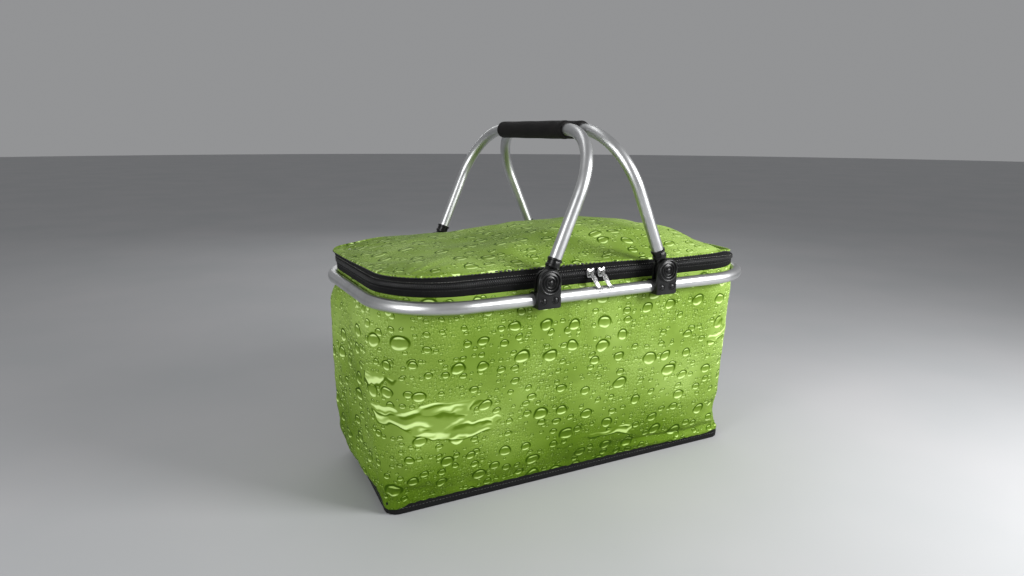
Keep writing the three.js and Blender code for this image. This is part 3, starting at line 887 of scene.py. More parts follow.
def sag(grid):
    """The full left end, the slack right end and the soft upright folds of a hanging bag."""
    x, y, z = in_mm(grid)
    free = loose(z)
    low = bell(z - 44, 15)  # a crease runs round the bag here, just over the base
    under_rim = smooth_step(z, 190, 212) * smooth_step(z, 222, 217)
    left = smooth_step(-x, 150, 225) * (FULL_END * free * (1 - 0.25 * low) + 6 * under_rim)
    right = smooth_step(x, 165, 228) * (SLACK_END * free + 2.6 * low)
    grid = shift(grid, x=-left - right)
    around = np.arctan2(y, x * 0.55) * 150
    wide, narrow = ripple(around, z, 95, 5, spread=0.35), ripple(around, z, 42, 8)
    folds = (1.1 * wide + 0.5 * narrow) * free
    return grid + grid_normals(grid, True) * (folds * MM)[..., None]


def cloth_lengths(grid):
    """How far each point of a wrapped grid lies round and up the cloth, from the front's middle."""
    steps = np.linalg.norm(np.roll(grid, -1, 1) - grid, axis=2)
    run = np.concatenate((np.zeros((len(grid), 1)), np.cumsum(steps, 1)), 1)
    front = grid.shape[1] // 2
    return run - run[:, front : front + 1]


def pucker(grid, normals):
    """Gathers where the cloth is sewn to the base, and small creases under the rim."""
    x, _, z = in_mm(grid)
    run = cloth_lengths(grid)[:, :-1] / MM
    fuller = mix(0.7, 1.5, smooth_step(np.abs(x), 170, 222))  # towards both ends
    base = smooth_step(z, 42, 13) * smooth_step(z, 9, 15) * fuller
    under_rim = smooth_step(z, 165, 205) * smooth_step(z, 219, 212)
    gathers = 0.95 * ripple(run, z * 0.3, 17, 21, spread=0.3) * base
    creases = 0.8 * ripple(run, z * 0.4, 34, 33, spread=0.4) * under_rim
    fine = 0.22 * ripple(run, z, 13, 55) * loose(z)
    collar = 0.35 * ripple(run, z * 0.2, 11, 61, spread=0.2) * smooth_step(z, 233, 236)
    relief = (gathers + creases + fine + collar) * MM
    return roll_hem(grid + normals * relief[..., None], normals, run)


def roll_hem(grid, normals, run):
    """The cover's lower edge rolls over the base's binding, dips to a point at the front left corner
    and folds over towards the right."""
    x, y, z = in_mm(grid)
    edge = smooth_step(z, 19, 11.5)
    point = bell(np.hypot(x + 224, y + 86), 13)
    wavy = 0.55 * ripple(run, 0 * run, 15, 44, spread=0.2)
    down = edge * (wavy - 1.1 + 5.4 * point)
    front = smooth_step(x, 20, 110) * smooth_step(x, 224, 200) * (y < 0)
    crease = 23 + 3 * np.sin(x / 38)  # height of the crease, over which the cloth folds
    fold = 2.8 * bell(z - crease + 7, 4.5) - 3.2 * bell(z - crease, 3)
    out = (edge * (2.1 + 0.9 * point) + front * fold) * MM
    return shift(grid + normals * out[..., None], z=-down)


def make_bag():
    """The draped cover. Its outer face is returned for the layers behind it."""
    foot, top = WALL[0, 0], WALL[-1, 0]
    base = draw_in(sag(np.stack([wall_ring(z) for z in np.linspace(foot, top, BAG_ROWS)])))
    held = (base[..., 2] <= foot + 1e-5) | (base[..., 2] >= TUCK_Z)
    cloth = drape(base, True, held, pressure=0.9, slack=0.006, most=(-0.9 * MM, 5 * MM))
    cloth = finer(cloth, wrap=True)
    outer = pucker(cloth, grid_normals(cloth, True))
    inner = outer - grid_normals(outer, True) * SKIN
    cover = Shape().add(shell(outer, inner, True))
    cover = cover.piece("bag_cover", GREEN, "root", "green_fabric", "outer_shell", sharp=60)
    run, height = cloth_lengths(outer), outer[..., 2]
    points = np.stack((run[:, :-1], height, 0 * height), -1).reshape(-1, 3)
    points = np.concatenate((points, points))
    lay_print(cover, points)
    mend_back_seam(cover, points, run)
    return outer


def mend_back_seam(cover, points, run):
    """The faces that cross the back's middle take the print's far end in place of its start."""
    layer = cover.data.attributes["cloth"]
    rows, cols = len(run), run.shape[1] - 1
    for face in cover.data.polygons:
        columns = [vertex % (rows * cols) % cols for vertex in face.vertices]
        if 0 in columns and cols - 1 in columns:
            for loop, vertex, column in zip(face.loop_indices, face.vertices, columns):
                if column == 0:
                    row = vertex % (rows * cols) // cols
                    layer.data[loop].vector = (run[row, -1], points[vertex][1], 0)


def lining_grid(outer, depth, crease=0.0):
    """A layer behind the cloth that follows its folds, from the floor to the hem. crease is how deep
    the small random creases of foil are."""
    grid = outer[::2, ::2]
    run, z = cloth_lengths(grid)[:, :-1] / MM, grid[..., 2] / MM
    creases = crease * np.abs(ripple(run, z, 38, 71)) * loose(z)
    grid = grid - grid_normals(grid, True) * (depth + creases)[..., None]
    grid = grid[grid[:, 0, 2] < LINING_TOP]
    foot = grid[:1] - (0, 0, 4 * MM)
    return np.concatenate((foot, grid))


def make_linings(outer):
    """Foam and foil behind the cloth, the hem that covers their top, and the foil floor."""
    foam = Shape().add(shell(*(lining_grid(outer, depth) for depth in PADDING), True))
    foam = foam.piece("wall_padding", FOAM, "root", "white_foam", "wall_foam")
    walls = shell(lining_grid(outer, LINING[0]), lining_grid(outer, LINING[1], FOIL_CREASE), True)
    low = box("foil_liner")[0][2]
    points, faces = plate(wall_ring(WALL[0, 0], LINING[0])[:, :2], low, low + 0.8 * MM, 0.2 * MM)
    lining = Shape().add(walls).add((draw_in(points), faces))
    lining.piece("foil_lining", FOIL, "root", "silver_foil", "foil_liner")
    low, high = box("floor_foam")
    points, faces = plate(wall_ring(WALL[0, 0], PADDING[0])[:, :2], low[2], high[2], 1 * MM)
    floor = Shape().add((draw_in(points), faces))
    floor = floor.piece("floor_padding", FOAM, "root", "white_foam", "floor_foam")
    low, high = box("liner_hem")
    points = outline(high[0] + 4.5 * MM, high[1] + 4.5 * MM, WALL[-2, 3])
    # The hem's section: how far it is set in, and its height over the node's lowest point.
    section = [(4.6, 0.3), (4.6, 3.2), (5.4, 4.2), (7.4, 4.2)]
    section += [(8.4, 3.2), (8.4, -5), (7.9, -5), (7.4, 0.3)]
    rings = []
    for inset, up in section:
        rings.append(level_ring(points - outwards_of(points) * inset * MM, low[2] + up * MM))
    hem = Shape().add(skin(list(np.stack(rings, 1)), closed=True))
    hem.piece("hem_tape", BINDING, "root", "black_fabric", "liner_hem")


def make_base():
    """Folded binding round the base, its stitching, and the panels of the floor."""
    low, high = box("base_binding")
    # The binding's section: how far out, and its height.
    section = [
        (-1.6, 0.2), (-0.9, 0.0), (-0.3, 0.4), (0.0, 2.0), (0.2, 5.0), (0.1, 10.4), (-0.3, 12.0),
        (-1.0, 12.6), (-1.7, 12.4), (-1.5, 11.4), (-1.35, 6.0),
    ]
    points = outline(high[0], high[1], 15 * MM, 2)
    out = outwards_of(points)
    run = np.cumsum(np.linalg.norm(np.roll(points, -1, 0) - points, axis=1)) / MM
    wave = ripple(run, 0 * run, 60, 90, spread=0.1) * 0.25
    top = ripple(run, 0 * run, 28, 91, spread=0.1) * 0.35
    rings = []
    for offset, z in section:
        ring = points + out * (offset + wave * (z > 1))[:, None] * MM
        rings.append(draw_in(level_ring(ring, low[2] + (z + top * (z > 7)) * MM)))
    binding = Shape().add(skin(list(np.stack(rings, 1)), closed=True))
    binding.piece("base_binding_tape", BINDING, "root", "black_fabric", "base_binding")
    path = draw_in(level_ring(points + out * 0.2 * MM, low[2] + 6.6 * MM))
    path = np.concatenate((path, path[:1]))
    sewing = stitches([path], 2.6 * MM, 0.55 * MM, 3.8 * MM, seed=3)
    sewing.piece("base_stitching", BLACK_THREAD, "root", "black_fabric")
    thick = box("base_panel")[1][2]
    edge = outline(high[0] - 1.6 * MM, high[1] - 1.6 * MM, 14 * MM)
    points, faces = plate(edge, 0, thick, 0.3 * MM)
    panel = Shape().add((draw_in(points), faces))
    panel.piece("base_cloth", BINDING, "root", "black_fabric", "base_panel")


# ---- Rim and brackets ----
PLATE = (8.3 * MM, 11.8 * MM)  # outwards from the rim tube's centre
CHEEK = (-1.2 * MM, 1.3 * MM)
DISC = PLATE[1] + 1.3 * MM  # face of the round boss over the pivot
BLOCK_IN = -6.4 * MM
BRACKET_HALF = 13.5 * MM
BRACKET_LOW = box("bracket_front_left")[0][2]
BLOCK_TOP = 235.5 * MM
RIVET_X = 6.8 * MM


def make_rim():
    """Four lengths of tube that meet inside the brackets."""
    ring = outline(RIM_X, RIM_Y, RIM_CORNER_R, 2)
    end = ring[: len(ring) // 2 + 1]
    end = end[np.abs(end[:, 0]) > BRACKET_X - 4 * MM]
    paths = {name: end * (-side, 1) for name, side in SIDES.items()}
    reach = BRACKET_X - 4.5 * MM
    for name, facing in FACINGS.items():
        paths[name] = np.array([(x, facing * RIM_Y) for x in np.linspace(-reach, reach, 24)])
    for name, path in paths.items():
        tube = Shape().add(pipe(level_ring(path, RIM_Z), TUBE_R, TUBE_WALL))
        tube.piece(f"rim_{name}", ALUMINIUM, "root", "aluminium_tube", f"rim_tube_{name}")


def bracket_place(side, facing):
    """Takes X to the right, Y up and Z outwards to a bracket's place on the rim."""
    columns = ((facing * -1, 0, 0), (0, 0, 1), (0, facing, 0))
    turn = Matrix(columns).transposed().to_4x4()
    return Matrix.Translation((side * BRACKET_X, facing * RIM_Y, 0)) @ turn


def tombstone(half, low, centre, radius, steps=28):
    """Outline with a square foot and a round head."""
    points = [(-half, low + 2 * MM), (-half + 0.6 * MM, low + 0.6 * MM), (-half + 2 * MM, low)]
    points += [(half - 2 * MM, low), (half - 0.6 * MM, low + 0.6 * MM), (half, low + 2 * MM)]
    for k in range(steps + 1):
        angle = math.pi * k / steps
        points.append((radius * math.cos(angle), centre + radius * math.sin(angle)))
    return np.array(points)


def make_bracket(corner, side, facing):
    """The block that holds the rim, the face plate with its rings, and the cheek behind the bail."""
    shape = Shape()
    at = bracket_place(side, facing)
    body = rounded(BRACKET_HALF, (BLOCK_TOP - BRACKET_LOW) / 2, 2.2 * MM)
    body = body + (0, (BLOCK_TOP + BRACKET_LOW) / 2)
    shape.add(plate(body, BLOCK_IN, PLATE[1] - 0.4 * MM, 1.2 * MM), at)
    face = tombstone(BRACKET_HALF, BRACKET_LOW, PIVOT_Z, BRACKET_HALF)
    shape.add(plate(face, *PLATE, 0.9 * MM), at)
    cheek = tombstone(11 * MM, BLOCK_TOP - 2 * MM, PIVOT_Z, 11 * MM)
    shape.add(plate(cheek, *CHEEK, 0.5 * MM), at)
    # Rings moulded round the pivot: radius, half width and height of each ridge.
    profile = [(0, -2), (13.3, -2), (13.3, -0.6), (12.7, 0)]
    for radius, half, high in ((11.3, 0.9, 1.2), (7.9, 0.7, 1.2), (5.0, 0.55, 0.9)):
        for turn in np.linspace(0, math.pi, 7):
            profile.append((radius + half * math.cos(turn), high * math.sin(turn)))
        profile.append((radius - half - 0.4, -0.4))
    profile.append((0, -0.4))
    shape.add(lathe(np.array(profile) * MM, 48), at @ Matrix.Translation((0, PIVOT_Z, DISC)))
    boss = [(0, -0.5), (4.4, -0.5), (4.4, 0.15), (4.0, 0.55), (3.4, 0.55), (3.1, 0.1), (0, 0.1)]
    for end in (-1, 1):
        centre = Matrix.Translation((end * RIVET_X, RIM_Z, PLATE[1]))
        shape.add(lathe(np.array(boss) * MM, 24), at @ centre)
    name = f"hinge_bracket_{corner}"
    shape.piece(name, PLASTIC, "root", "black_plastic", f"bracket_{corner}", sharp=32)


def reach_of(node, facing):
    """How far inwards and outwards of the rim tube's centre a CAD node reaches."""
    low, high = box(node)
    return sorted(facing * y - RIM_Y for y in (low[1], high[1]))


def make_fasteners(corner, side, facing):
    """The bail's pivot pin and the two rivets through the rim."""
    at = bracket_place(side, facing)
    node = f"pivot_pin_{corner}"
    inner = reach_of(node, facing)[0]
    head, shaft, neck, foot = 4.2 * MM, 2 * MM, inner + 1.4 * MM, DISC - 0.5 * MM
    profile = [(0, inner), (head * 0.8, inner), (head, inner + 1 * MM), (head, neck), (shaft, neck)]
    profile += [(shaft, foot), *dome_profile(3 * MM, foot, DISC + 1.5 * MM, 8)[1:]]
    pin = Shape().add(lathe(profile, 32), at @ Matrix.Translation((0, PIVOT_Z, 0)))
    pin.piece(f"pivot_{corner}", PLASTIC, "root", "zip_metal", node)
    head, shaft, foot = 2.9 * MM, 1.6 * MM, PLATE[1] + 0.2 * MM
    for letter in "ab":
        node = f"rim_rivet_{corner}_{letter}"
        x = middle(node)[0] - side * BRACKET_X
        inner, outer = reach_of(node, facing)
        neck = inner + 1.2 * MM
        profile = [(0, inner), (head, inner), (head, neck), (shaft, neck), (shaft, foot)]
        profile += dome_profile(head, foot, outer, 7)[1:]
        rivet = Shape().add(lathe(profile, 24), at @ Matrix.Translation((-facing * x, RIM_Z, 0)))
        rivet.piece(f"rivet_{corner}_{letter}", PLASTIC, "root", "black_plastic", node)


# ---- Bails ----
SOCKET = {"low": 14.3 * MM, "floor": 16.3 * MM, "top": 24.6 * MM, "r": 7.4 * MM}
KNUCKLE_R = 9.5 * MM
KNUCKLE = 6.4 * MM


def bail_place(side):
    """Takes a bail drawn upright over its pivot line to its leaning place."""
    pivot = Matrix.Translation((side * BRACKET_X, 0, PIVOT_Z))
    return pivot @ Matrix.Rotation(-side * BAIL_TILT, 4, "Y")


def bail_path():
    """The bail's centreline, upright over its pivot line, from the front socket to the back one."""
    bend = BAIL_REACH - BAIL_BEND_R
    inner = BAIL_Y - BAIL_BEND_R
    points = [(-BAIL_Y, z) for z in np.linspace(SOCKET["floor"], bend, 14)[:-1]]
    for angle in np.linspace(math.pi, math.pi / 2, 25):
        points.append((-inner + BAIL_BEND_R * math.cos(angle), bend + BAIL_BEND_R * math.sin(angle)))
    half = np.array(points)
    whole = np.concatenate((half, [(0, BAIL_REACH)], half[::-1] * (-1, 1)))
    return np.column_stack((np.zeros(len(whole)), whole))


def make_socket(body, corner, side, facing):
    """The moulding at a bail's foot: a round knuckle, a flat neck and a collar with a latch."""
    shape = Shape()
    at = bail_place(side) @ Matrix.Translation((0, facing * BAIL_Y, 0))
    angle = 2 * np.pi * np.arange(36) / 36
    knuckle = np.stack((np.cos(angle), np.sin(angle)), 1) * KNUCKLE_R
    across = Matrix.Translation((0, KNUCKLE / 2, 0)) @ Matrix.Rotation(math.pi / 2, 4, "X")
    shape.add(plate(knuckle, 0, KNUCKLE, 0.6 * MM), at @ across)
    r, low, top = SOCKET["r"], SOCKET["low"], SOCKET["top"]
    neck = rounded(6.2 * MM, KNUCKLE / 2, 1.2 * MM)
    shape.add(plate(neck, 0, low + 1.5 * MM, 0.3 * MM), at)
    # The collar: a bead at each end of a plain middle, as (out from r, up from low or top).
    lower = [(-1.6, 0), (-0.3, 0.5), (0.3, 1.4), (0.3, 3.4), (-0.5, 4)]
    upper = [(-0.5, -3), (0.3, -2.4), (0.3, -0.5), (-0.2, 0)]
    profile = [(0, low), *((r + out * MM, low + up * MM) for out, up in lower)]
    profile += [(r + out * MM, top + up * MM) for out, up in upper]
    profile += [(TUBE_R, top), (TUBE_R, low + 2 * MM), (0, low + 2 * MM)]
    shape.add(lathe(profile, 40), at)
    latch = rounded(3.0 * MM, 2.6 * MM, 0.6 * MM)
    face = place((0, facing * (r - 0.9 * MM), (low + top) / 2), (0, facing, 0))
    shape.add(plate(latch, 0, 1.3 * MM, 0.3 * MM), at @ face)
    shape.piece(f"socket_{corner}", PLASTIC, body, "black_plastic", f"bail_socket_{corner}", sharp=32)


def make_bail(name, side):
    """A bent tube with its foam grip and two sockets."""
    at = bail_place(side)
    body = f"bail_{name}"
    tube = Shape().add(pipe(bail_path(), TUBE_R, TUBE_WALL), at)
    tube.piece(f"bail_{name}_tube", ALUMINIUM, body, "aluminium_tube", f"bail_tube_{name}")
    low, high = box(f"bail_grip_{name}")
    half, radius, roll = (high[1] - low[1]) / 2, (high[0] - low[0]) / 2, 3.2 * MM
    # One end of the grip as (radius, distance from the middle): its bore, then its rolled rim.
    end = [(0, half - 1 * MM), (TUBE_R, half - 1 * MM), (TUBE_R + 0.4 * MM, half)]
    for turn in np.linspace(0, math.pi / 2, 7):
        end.append((radius - roll + roll * math.sin(turn), half - roll + roll * math.cos(turn)))
    end = np.array(end)
    run = np.linspace(roll - half, half - roll, 40)[1:-1]
    run = np.concatenate((-end[:, 1], run, end[::-1, 1]))
    radii = np.concatenate((end[:, 0], np.full(38, radius), end[::-1, 0]))
    uneven = 0.12 * MM * (np.sin(run / (9 * MM)) - 1) * (np.abs(run) < half - 8 * MM)
    lie = at @ Matrix.Translation((0, 0, BAIL_REACH)) @ Matrix.Rotation(-math.pi / 2, 4, "X")
    grip = Shape().add(lathe(list(zip(radii + uneven, run)), 48), lie)
    grip = grip.piece(f"grip_{name}", GRIP, body, "grip_foam", f"bail_grip_{name}")
    for facing_name, facing in FACINGS.items():
        make_socket(body, f"{facing_name}_{name}", side, facing)


# ---- Zip ----
def tape_section(low, high, coil_end):
    """A woven tape, thicker where it folds over its coil at coil_end (-1 low, 1 high)."""
    fold = high - 2.6 * MM if coil_end > 0 else low + 2.6 * MM
    levels = sorted((low, low + 0.6 * MM, fold - 1 * MM, fold, fold + 1 * MM, high - 0.6 * MM, high))
    outer = []
    for z in levels:
        edge = min(z - low, high - z) < 0.3 * MM
        ridge = 0.45 * MM * math.exp(-(((z - fold) / (1.1 * MM)) ** 2))
        outer.append((-0.35 * MM if edge else ridge, z))
    inner = [(-TAPE_THICK, z) for z in (high, low)]
    return outer + inner


def teeth(z, phase, name, body, node):
    """One side of the coil: small hooked links, one pitch apart."""
    pitch, half_up, half_out = 2.3 * MM, 1.45 * MM, 0.75 * MM
    path = zip_part(seam_ring(half_out, z, 2))
    link = plate(rounded(0.62 * MM, half_up, 0.5 * MM, steps=2), -half_out, half_out, 0.35 * MM)
    coil = Shape()
    for point, direction in zip(*along(path, pitch, phase * pitch)):
        out = Vector((direction[1], -direction[0], 0))
        turn = Matrix((direction, (0, 0, 1), out)).transposed().to_4x4()
        coil.add(link, Matrix.Translation(point) @ turn)
    coil.piece(name, COIL, body, "black_plastic", node)


def make_zip():
    """Tapes, coils and stitching, on the bag below the zip's line and on the lid above it."""
    # Body, tape's levels, its end at the coil, the coil's phase, and the stitching's height and thread.
    halves = {
        "lower": ("root", TAPE_LOWER, 1, 0.0, 243.4 * MM, BLACK_THREAD),
        "upper": ("lid", TAPE_UPPER, -1, 0.5, 252.4 * MM, GREY_THREAD),
    }
    for name, (body, levels, end, phase, sewn_z, colour) in halves.items():
        tape = Shape().add(strip(tape_section(*levels, end)))
        tape.piece(f"tape_{name}", TAPE, body, "black_fabric", f"zip_tape_{name}")
        teeth(ZIP_Z - end * 0.75 * MM, phase, f"coil_{name}", body, f"zip_teeth_{name}")
        path = zip_part(seam_ring(0.02 * MM, sewn_z, 2))
        sewing = stitches([path], 2.4 * MM, 0.42 * MM, 3.1 * MM, seed=len(name))
        sewing.piece(f"tape_stitching_{name}", colour, body, "black_fabric")
    # The lid's edge is oversewn: in large stitches between the left bail and the sliders, else small.
    binding = zip_part(seam_ring(0.5 * MM, LID_EDGE_Z + 0.4 * MM, 2))
    large = (binding[:, 1] < 0) & (np.abs(binding[:, 0] + 65 * MM) < 62 * MM)
    first, last = np.flatnonzero(large)[[0, -1]]
    edge = stitches([binding[first : last + 1]], 3.6 * MM, 1.7 * MM, 4.8 * MM, seed=11, uneven=0.22)
    small = [path - (0, 0, 0.5 * MM) for path in (binding[: first + 1], binding[last:])]
    small = stitches(small, 3 * MM, 0.9 * MM, 4 * MM, seed=12)
    edge.add((np.concatenate(small.points), small.faces))
    edge.piece("lid_edge_stitching", BLACK_THREAD, "lid", "black_fabric")


def make_hinge():
    """The cloth along the back that joins the lid to the bag. Above the zip it widens to the left, to
    where the tape starts round the lid's sharper corner."""
    low, high = TAPE_LOWER[0], TAPE_UPPER[1]
    reach = box("hinge_band_lower")[1][0] + 0.2 * MM
    y = box("hinge_band_lower")[1][1]
    below = np.linspace(low, ZIP_Z - 2 * MM, 8)
    bend = np.linspace(ZIP_Z - 1.6 * MM, ZIP_Z + 1.6 * MM, 9)
    above = np.linspace(ZIP_Z + 2 * MM, high, 8)
    heights = np.concatenate((below, bend, above))
    ridge = 0.5 * MM * np.exp(-(((heights - ZIP_Z) / (2.2 * MM)) ** 2))
    tape_start = np.array([zip_part(seam_ring(0, z))[0, 0] for z in heights])
    left = np.minimum(-reach, tape_start - 0.3 * MM)
    turns = np.sin(4 * np.arange(len(heights)))
    rings = []
    for share in np.linspace(0, 1, 90):
        x = left + (reach - left) * share
        wave = 0.12 * MM * np.sin(x / (11 * MM)) * turns
        outer = np.stack((x, y + wave + ridge, heights), -1)
        inner = np.stack((x, y - TAPE_THICK + ridge * 0.6, heights), -1)
        rings.append(slump(np.concatenate((outer, inner[::-1]))))
    cloth = Shape().add(skin(rings)).build("lid_hinge_cloth", TAPE)
    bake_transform(cloth)
    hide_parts("hinge_band_lower", "hinge_band_upper")


def circle(radius, steps, turn=2 * math.pi):
    """Points of a circle or an arc in two directions, from the first of them."""
    return [(radius * math.cos(a), radius * math.sin(a)) for a in np.linspace(0, turn, steps + 1)]


def make_slider(name):
    """A cast slider over the coil, with the arch that holds its pull."""
    node = f"zip_slider_{name}"
    low, high = box(node)
    x = (low[0] + high[0]) / 2
    half = (high - low)[[0, 2]] / 2
    # Depths of the slider's two plates and of the web between them, outwards from the bag's middle.
    back, web, front = (127.1 * MM, 128.8 * MM), (128.4 * MM, 132.5 * MM), (132.1 * MM, 133.4 * MM)
    shape = Shape()
    at = Matrix.Translation((x, 0, ZIP_Z)) @ Matrix.Rotation(math.pi / 2, 4, "X")
    right = [(0.5, -1), (0.78, -0.86), (1, 0.55), (0.86, 0.9), (0.5, 1), (0.16, 0.72)]
    left = [(-across, up) for across, up in right]
    shield = np.array(left[2::-1] + right + left[:2:-1]) * half
    shape.add(plate(shield, *front, 0.35 * MM), at)
    shape.add(plate(shield * 0.7, front[1] - 0.2 * MM, front[1] + 0.55 * MM, 0.4 * MM), at)
    shape.add(plate(shield, *back, 0.35 * MM), at)
    post = rounded(1.5 * MM, 0.45 * MM, 0.2 * MM, centre=(-2 * MM, 0))
    shape.add(plate(post, *web, 0.1 * MM), at)
    arch = np.array(circle(1, 12, turn=math.pi)) * (3.1 * MM, -2.6 * MM)
    arch = [(x + across, 0.4 * MM - front[1] + out, ZIP_Z) for across, out in arch]
    shape.add(bar(arch, 0.62 * MM, 10))
    for end in (-1, 1):
        side = x + end * 3.6 * MM
        rail = [(side, -132.6 * MM, ZIP_Z + z * half[1]) for z in (-0.75, -0.4, 0, 0.4, 0.75)]
        shape.add(bar(rail, np.array((0.4, 0.7, 0.8, 0.7, 0.4)) * MM, 8))
    shape.piece(f"slider_{name}", METAL, f"slider_{name}", "zip_metal", node, sharp=32)


def make_pull(name):
    """A cast tab with raised rails and a ring at its tip, on a loop round the slider's bar."""
    length, half, wire = 22.5 * MM, 3.2 * MM, 0.6 * MM
    lean, sway = math.radians(35.5), math.radians(12)
    joint = next(j for j in frame["joints"] if j["name"] == f"pull_{name}_swing")
    at = Matrix.Translation(joint["pos_m"]) @ Matrix.Rotation(-lean, 4, "X")
    swing = at @ Matrix.Rotation(-sway, 4, "Y")
    ring_z, ring_r = half - length, half - wire
    foot = ring_z + ring_r + 0.4 * MM
    shape = Shape()
    # The tab's right side and the rail along it, as (across, up) from the loop.
    rail = [(1.3, -1.2), (1.5, -2.6), (2.4, -4.2), (2.5, -7.0), (2.2, -10.0), (1.9, foot / MM)]
    side = [(1.2, -1.6), (1.4, -2.6), (2.4, -4.4), (2.5, -7.0), (2.2, -10.0), (1.9, foot / MM)]
    for end in (-1, 1):
        shape.add(bar([(end * x * MM, 0, z * MM) for x, z in rail], wire, 10), swing)
    side = np.array(side) * MM
    tab = np.concatenate((side * (-1, 1), side[::-1]))
    flat = Matrix.Translation((0, 0.35 * MM, 0)) @ Matrix.Rotation(math.pi / 2, 4, "X")
    shape.add(plate(tab, 0, 0.7 * MM, 0.12 * MM), swing @ flat)
    shape.add(bar([(x, 0, ring_z + z) for x, z in circle(ring_r, 24)], wire, 10), swing)
    for x in (-0.9, 0, 0.9):
        loop = [(x * MM, y, z) for y, z in circle(1.25 * MM, 16)]
        shape.add(bar(loop, 0.45 * MM, 8), at)
    shape.piece(f"pull_{name}", METAL, f"pull_{name}", "zip_metal", f"zip_pull_{name}")


# ---- Lid ----
LID_COLS, LID_ROWS = 97, 57
LID_PADDING = (1.7 * MM, 5.4 * MM)  # depth of the foam's two faces under the cloth
LID_LINING = (5.6 * MM, 6.4 * MM)


def lid_share():
    """A square grid laid over the lid: each point's ring (0 middle, 1 seam) and its seam point."""
    a, b = np.meshgrid(np.linspace(-1, 1, LID_COLS), np.linspace(-1, 1, LID_ROWS))
    ring = np.maximum(np.abs(a), np.abs(b))
    x, y = a / np.maximum(ring, 1e-9), b / np.maximum(ring, 1e-9)
    fine = 4
    edge = lid_outline(fine)
    long_half = (LONG_STEPS + CORNER_STEPS) * fine / 2
    end_half = (END_STEPS + CORNER_STEPS) * fine / 2
    # Steps along the seam from the middle of the back: over the back, the left end and the front.
    full = 1 - 1e-9
    index = np.select(
        (y >= full, x <= -full, y <= -full),
        (-x * long_half, long_half + (1 - y) * end_half, 2 * (long_half + end_half) + x * long_half),
        3 * long_half + 2 * end_half + (1 + y) * end_half,
    )
    index = index % len(edge)
    whole = np.floor(index).astype(int)
    seam = mix(edge[whole % len(edge)], edge[(whole + 1) % len(edge)], (index - whole)[..., None])
    return ring, seam


def dome(ring, seam):
    """Points of the lid's dome over the grid."""
    points = seam * ring[..., None]
    x = points[..., 0] + LID_CROWN_X * (1 - ring)
    rise = LID_RISE * (1 - ring**LID_POWER)
    roll = LID_ROLL * (1 - np.exp(-(1 - ring) / LID_ROLL_WIDTH))
    full = 1 - 0.8 * smooth_step(x, 150 * MM, 226 * MM) - 0.45 * smooth_step(-x, -20 * MM, 150 * MM)
    return slump(np.stack((x, points[..., 1], LID_EDGE_Z + (rise + roll) * full), -1))


def lid_layer(top, ring, drop, inset):
    """A layer under the lid's cloth: the same folds, lower, and narrower where it meets the seam."""
    shrink = 1 - inset / ZIP_EDGE[1] * smooth_step(ring, 0.4, 1.0)[..., None]
    return top * np.concatenate((shrink, shrink, np.ones_like(shrink)), -1) - (0, 0, drop)


def lid_wrinkles(grid, ring):
    """Creases that fan out of the lid's corners, slack across its middle, and one dent."""
    x, y, _ = in_mm(grid)
    relief = ripple(x, y, 85, 12) * 1.3 + ripple(x, y, 34, 14) * 0.45
    for sx in (-1, 1):
        for sy in (-1, 1):
            dx, dy = x - sx * 215, y - sy * 116
            fan = np.sin(np.arctan2(dy, dx) * 17 + sx + 2 * sy)
            relief = relief + bell(np.hypot(dx, dy), 62) * fan * 0.9
    slack = bell(x - 25, 60) * smooth_step(y, 20, -90)
    relief = relief + slack * np.sin((x * 0.85 + y * 0.5) / 7) * 1.3
    across, out = (x * 0.9 + y * 0.44) / 26 + 0.7, (y * 0.9 - x * 0.44) / 34 + 2.5
    relief = relief - 4.2 * bell(np.hypot(across, out), 1)
    return shift(grid, z=relief * smooth_step(ring, 1.0, 0.93))


def make_lid():
    """The lid's cover, padding, foil and piping."""
    ring, seam = lid_share()
    held = ring >= 1 - 1e-9
    cloth = drape(dome(ring, seam), False, held, pressure=1.0, slack=0.012, most=(-1.5 * MM, 3.2 * MM))
    ring = np.clip(finer(ring[..., None])[..., 0], 0, 1)
    top = lid_wrinkles(finer(cloth), ring)
    under = lid_layer(top, ring, SKIN, SKIN)
    cover = Shape().add(shell(top, under, False))
    cover = cover.piece("lid_cover_cloth", GREEN, "lid", "green_fabric", "lid_cover", sharp=70)
    # The lid's cloth lies past the walls' top on the print, a little smaller.
    flat = np.concatenate((top.reshape(-1, 3), under.reshape(-1, 3))) * (1.15, 1.15, 0) + (0, 0.43, 0)
    lay_print(cover, flat)
    top, ring = top[::2, ::2], ring[::2, ::2]
    faces = [lid_layer(top, ring, depth, 6 * MM) for depth in LID_PADDING]
    foam = Shape().add(shell(*faces, False))
    foam = foam.piece("lid_padding", FOAM, "lid", "white_foam", "lid_foam")
    above, below = (lid_layer(top, ring, depth, 3 * MM) for depth in LID_LINING)
    x, y, _ = in_mm(top)
    crinkle = np.abs(ripple(x, y, 40, 77)) * 1.1 * smooth_step(ring, 1.0, 0.85)
    lining = Shape().add(shell(above, shift(below, z=-crinkle), False))
    lining.piece("lid_foil_lining", FOIL, "lid", "silver_foil", "lid_lining")
    section = [(-0.9, -0.6), (0.2, -0.5), (0.75, 0.3), (0.6, 1.2), (-0.2, 1.8), (-1.4, 1.6), (-1.7, 0.4)]
    section = [(out * MM, LID_EDGE_Z + up * MM) for out, up in section]
    piping = Shape().add(strip(section, whole=True))
    piping = piping.piece("lid_piping", GREEN, "lid", "green_fabric")
    points = np.array([vertex.co for vertex in piping.data.vertices])
    lay_print(piping, points * (1, 1, 0) + (0, 0.9, 0))


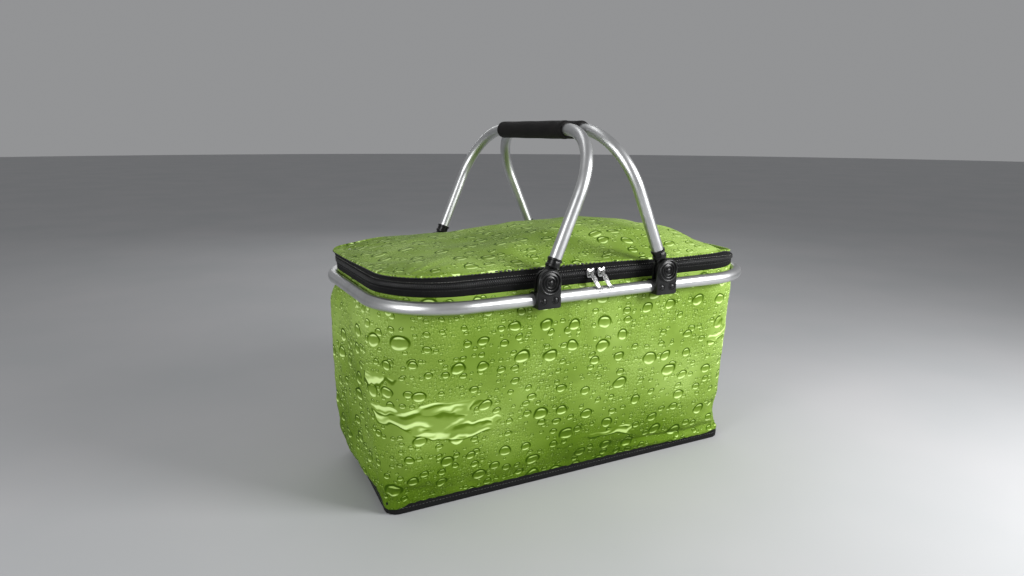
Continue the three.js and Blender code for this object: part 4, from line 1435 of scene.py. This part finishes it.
# ---- Set ----
VIEW_FROM = (-0.4351, -0.7562, 0.3934)
VIEW_TURN = (27.78, -12.23, 0.27)  # yaw, pitch and roll, in degrees
VIEW_LENS = 25.47
LIT_AT = (0, 0, 0.18)  # the lights aim here
FLOOR_REACH = 12.0
FLOOR_Z = -0.3 * MM


def dress_cad_nodes():
    """The CAD nodes that stay take their finishes."""
    kept = {"base_board": BOARD}
    for facing in FACINGS:
        for side in SIDES:
            kept[f"backing_plate_{facing}_{side}"] = PLASTIC
    for node, material in kept.items():
        mesh = frame["nodes"][node].data
        mesh.materials.clear()
        mesh.materials.append(material)


def make_camera():
    """The photograph's viewpoint: low, from the front left, with a wide lens."""
    yaw, pitch, roll = (math.radians(angle) for angle in VIEW_TURN)
    turn = Matrix.Rotation(-yaw, 4, "Z") @ Matrix.Rotation(math.pi / 2 + pitch, 4, "X")
    data = bpy.data.cameras.new("camera")
    data.sensor_width = 36
    data.lens = VIEW_LENS
    data.clip_start = 0.01
    camera = bpy.data.objects.new("camera", data)
    camera.matrix_world = Matrix.Translation(VIEW_FROM) @ turn @ Matrix.Rotation(roll, 4, "Z")
    bpy.context.scene.collection.objects.link(camera)
    bpy.context.scene.camera = camera


def make_studio():
    """World, area lights aimed at the basket, and the floor."""
    scene = bpy.context.scene
    scene.world = bpy.data.worlds.new("studio")
    scene.world.use_nodes = True
    background = scene.world.node_tree.nodes["Background"].inputs
    background["Color"].default_value = (0.97, 0.98, 1.0, 1)
    background["Strength"].default_value = 0.3
    # Name, place, width and height, and power.
    lights = [
        ("key", (0.66, -0.86, 0.64), (0.5, 0.5), 17.5),
        ("fill", (-1.5, -0.7, 0.5), (0.5, 1.1), 15),
        ("top", (-0.2, 0.5, 1.6), (1.4, 0.3), 3),
        ("back", (0.6, 1.7, 0.9), (1.4, 0.4), 3),
    ]
    for name, origin, size, power in lights:
        data = bpy.data.lights.new(name, "AREA")
        data.shape = "RECTANGLE"
        data.size, data.size_y = size
        data.energy = power
        light = bpy.data.objects.new(name, data)
        light.location = origin
        aim = Vector(LIT_AT) - light.location
        light.rotation_euler = aim.to_track_quat("-Z", "Y").to_euler()
        scene.collection.objects.link(light)
    mesh = bpy.data.meshes.new("floor")
    rim = [(x, y, FLOOR_Z) for x, y in circle(FLOOR_REACH, 64)[:-1]]
    mesh.from_pydata(rim, [], [tuple(range(len(rim)))])
    floor = bpy.data.objects.new("floor", mesh)
    finish = Finish("floor", Roughness=0.7)
    grain = finish.noise(finish.place(), 3.0, 3.0)
    shades = finish.ramp(grain, (0.3, (0.42, 0.43, 0.44, 1)), (0.7, (0.46, 0.46, 0.47, 1)))
    finish.feed(finish.shader.inputs["Base Color"], shades)
    mesh.materials.append(finish.material)
    scene.collection.objects.link(floor)
    scene.view_settings.view_transform = "Standard"


make_camera()
make_studio()
make_linings(make_bag())
make_base()
make_rim()
for facing_name, facing in FACINGS.items():
    for side_name, side in SIDES.items():
        corner = f"{facing_name}_{side_name}"
        make_bracket(corner, side, facing)
        make_fasteners(corner, side, facing)
for side_name, side in SIDES.items():
    make_bail(side_name, side)
    make_slider(side_name)
    make_pull(side_name)
make_zip()
make_hinge()
make_lid()
dress_cad_nodes()
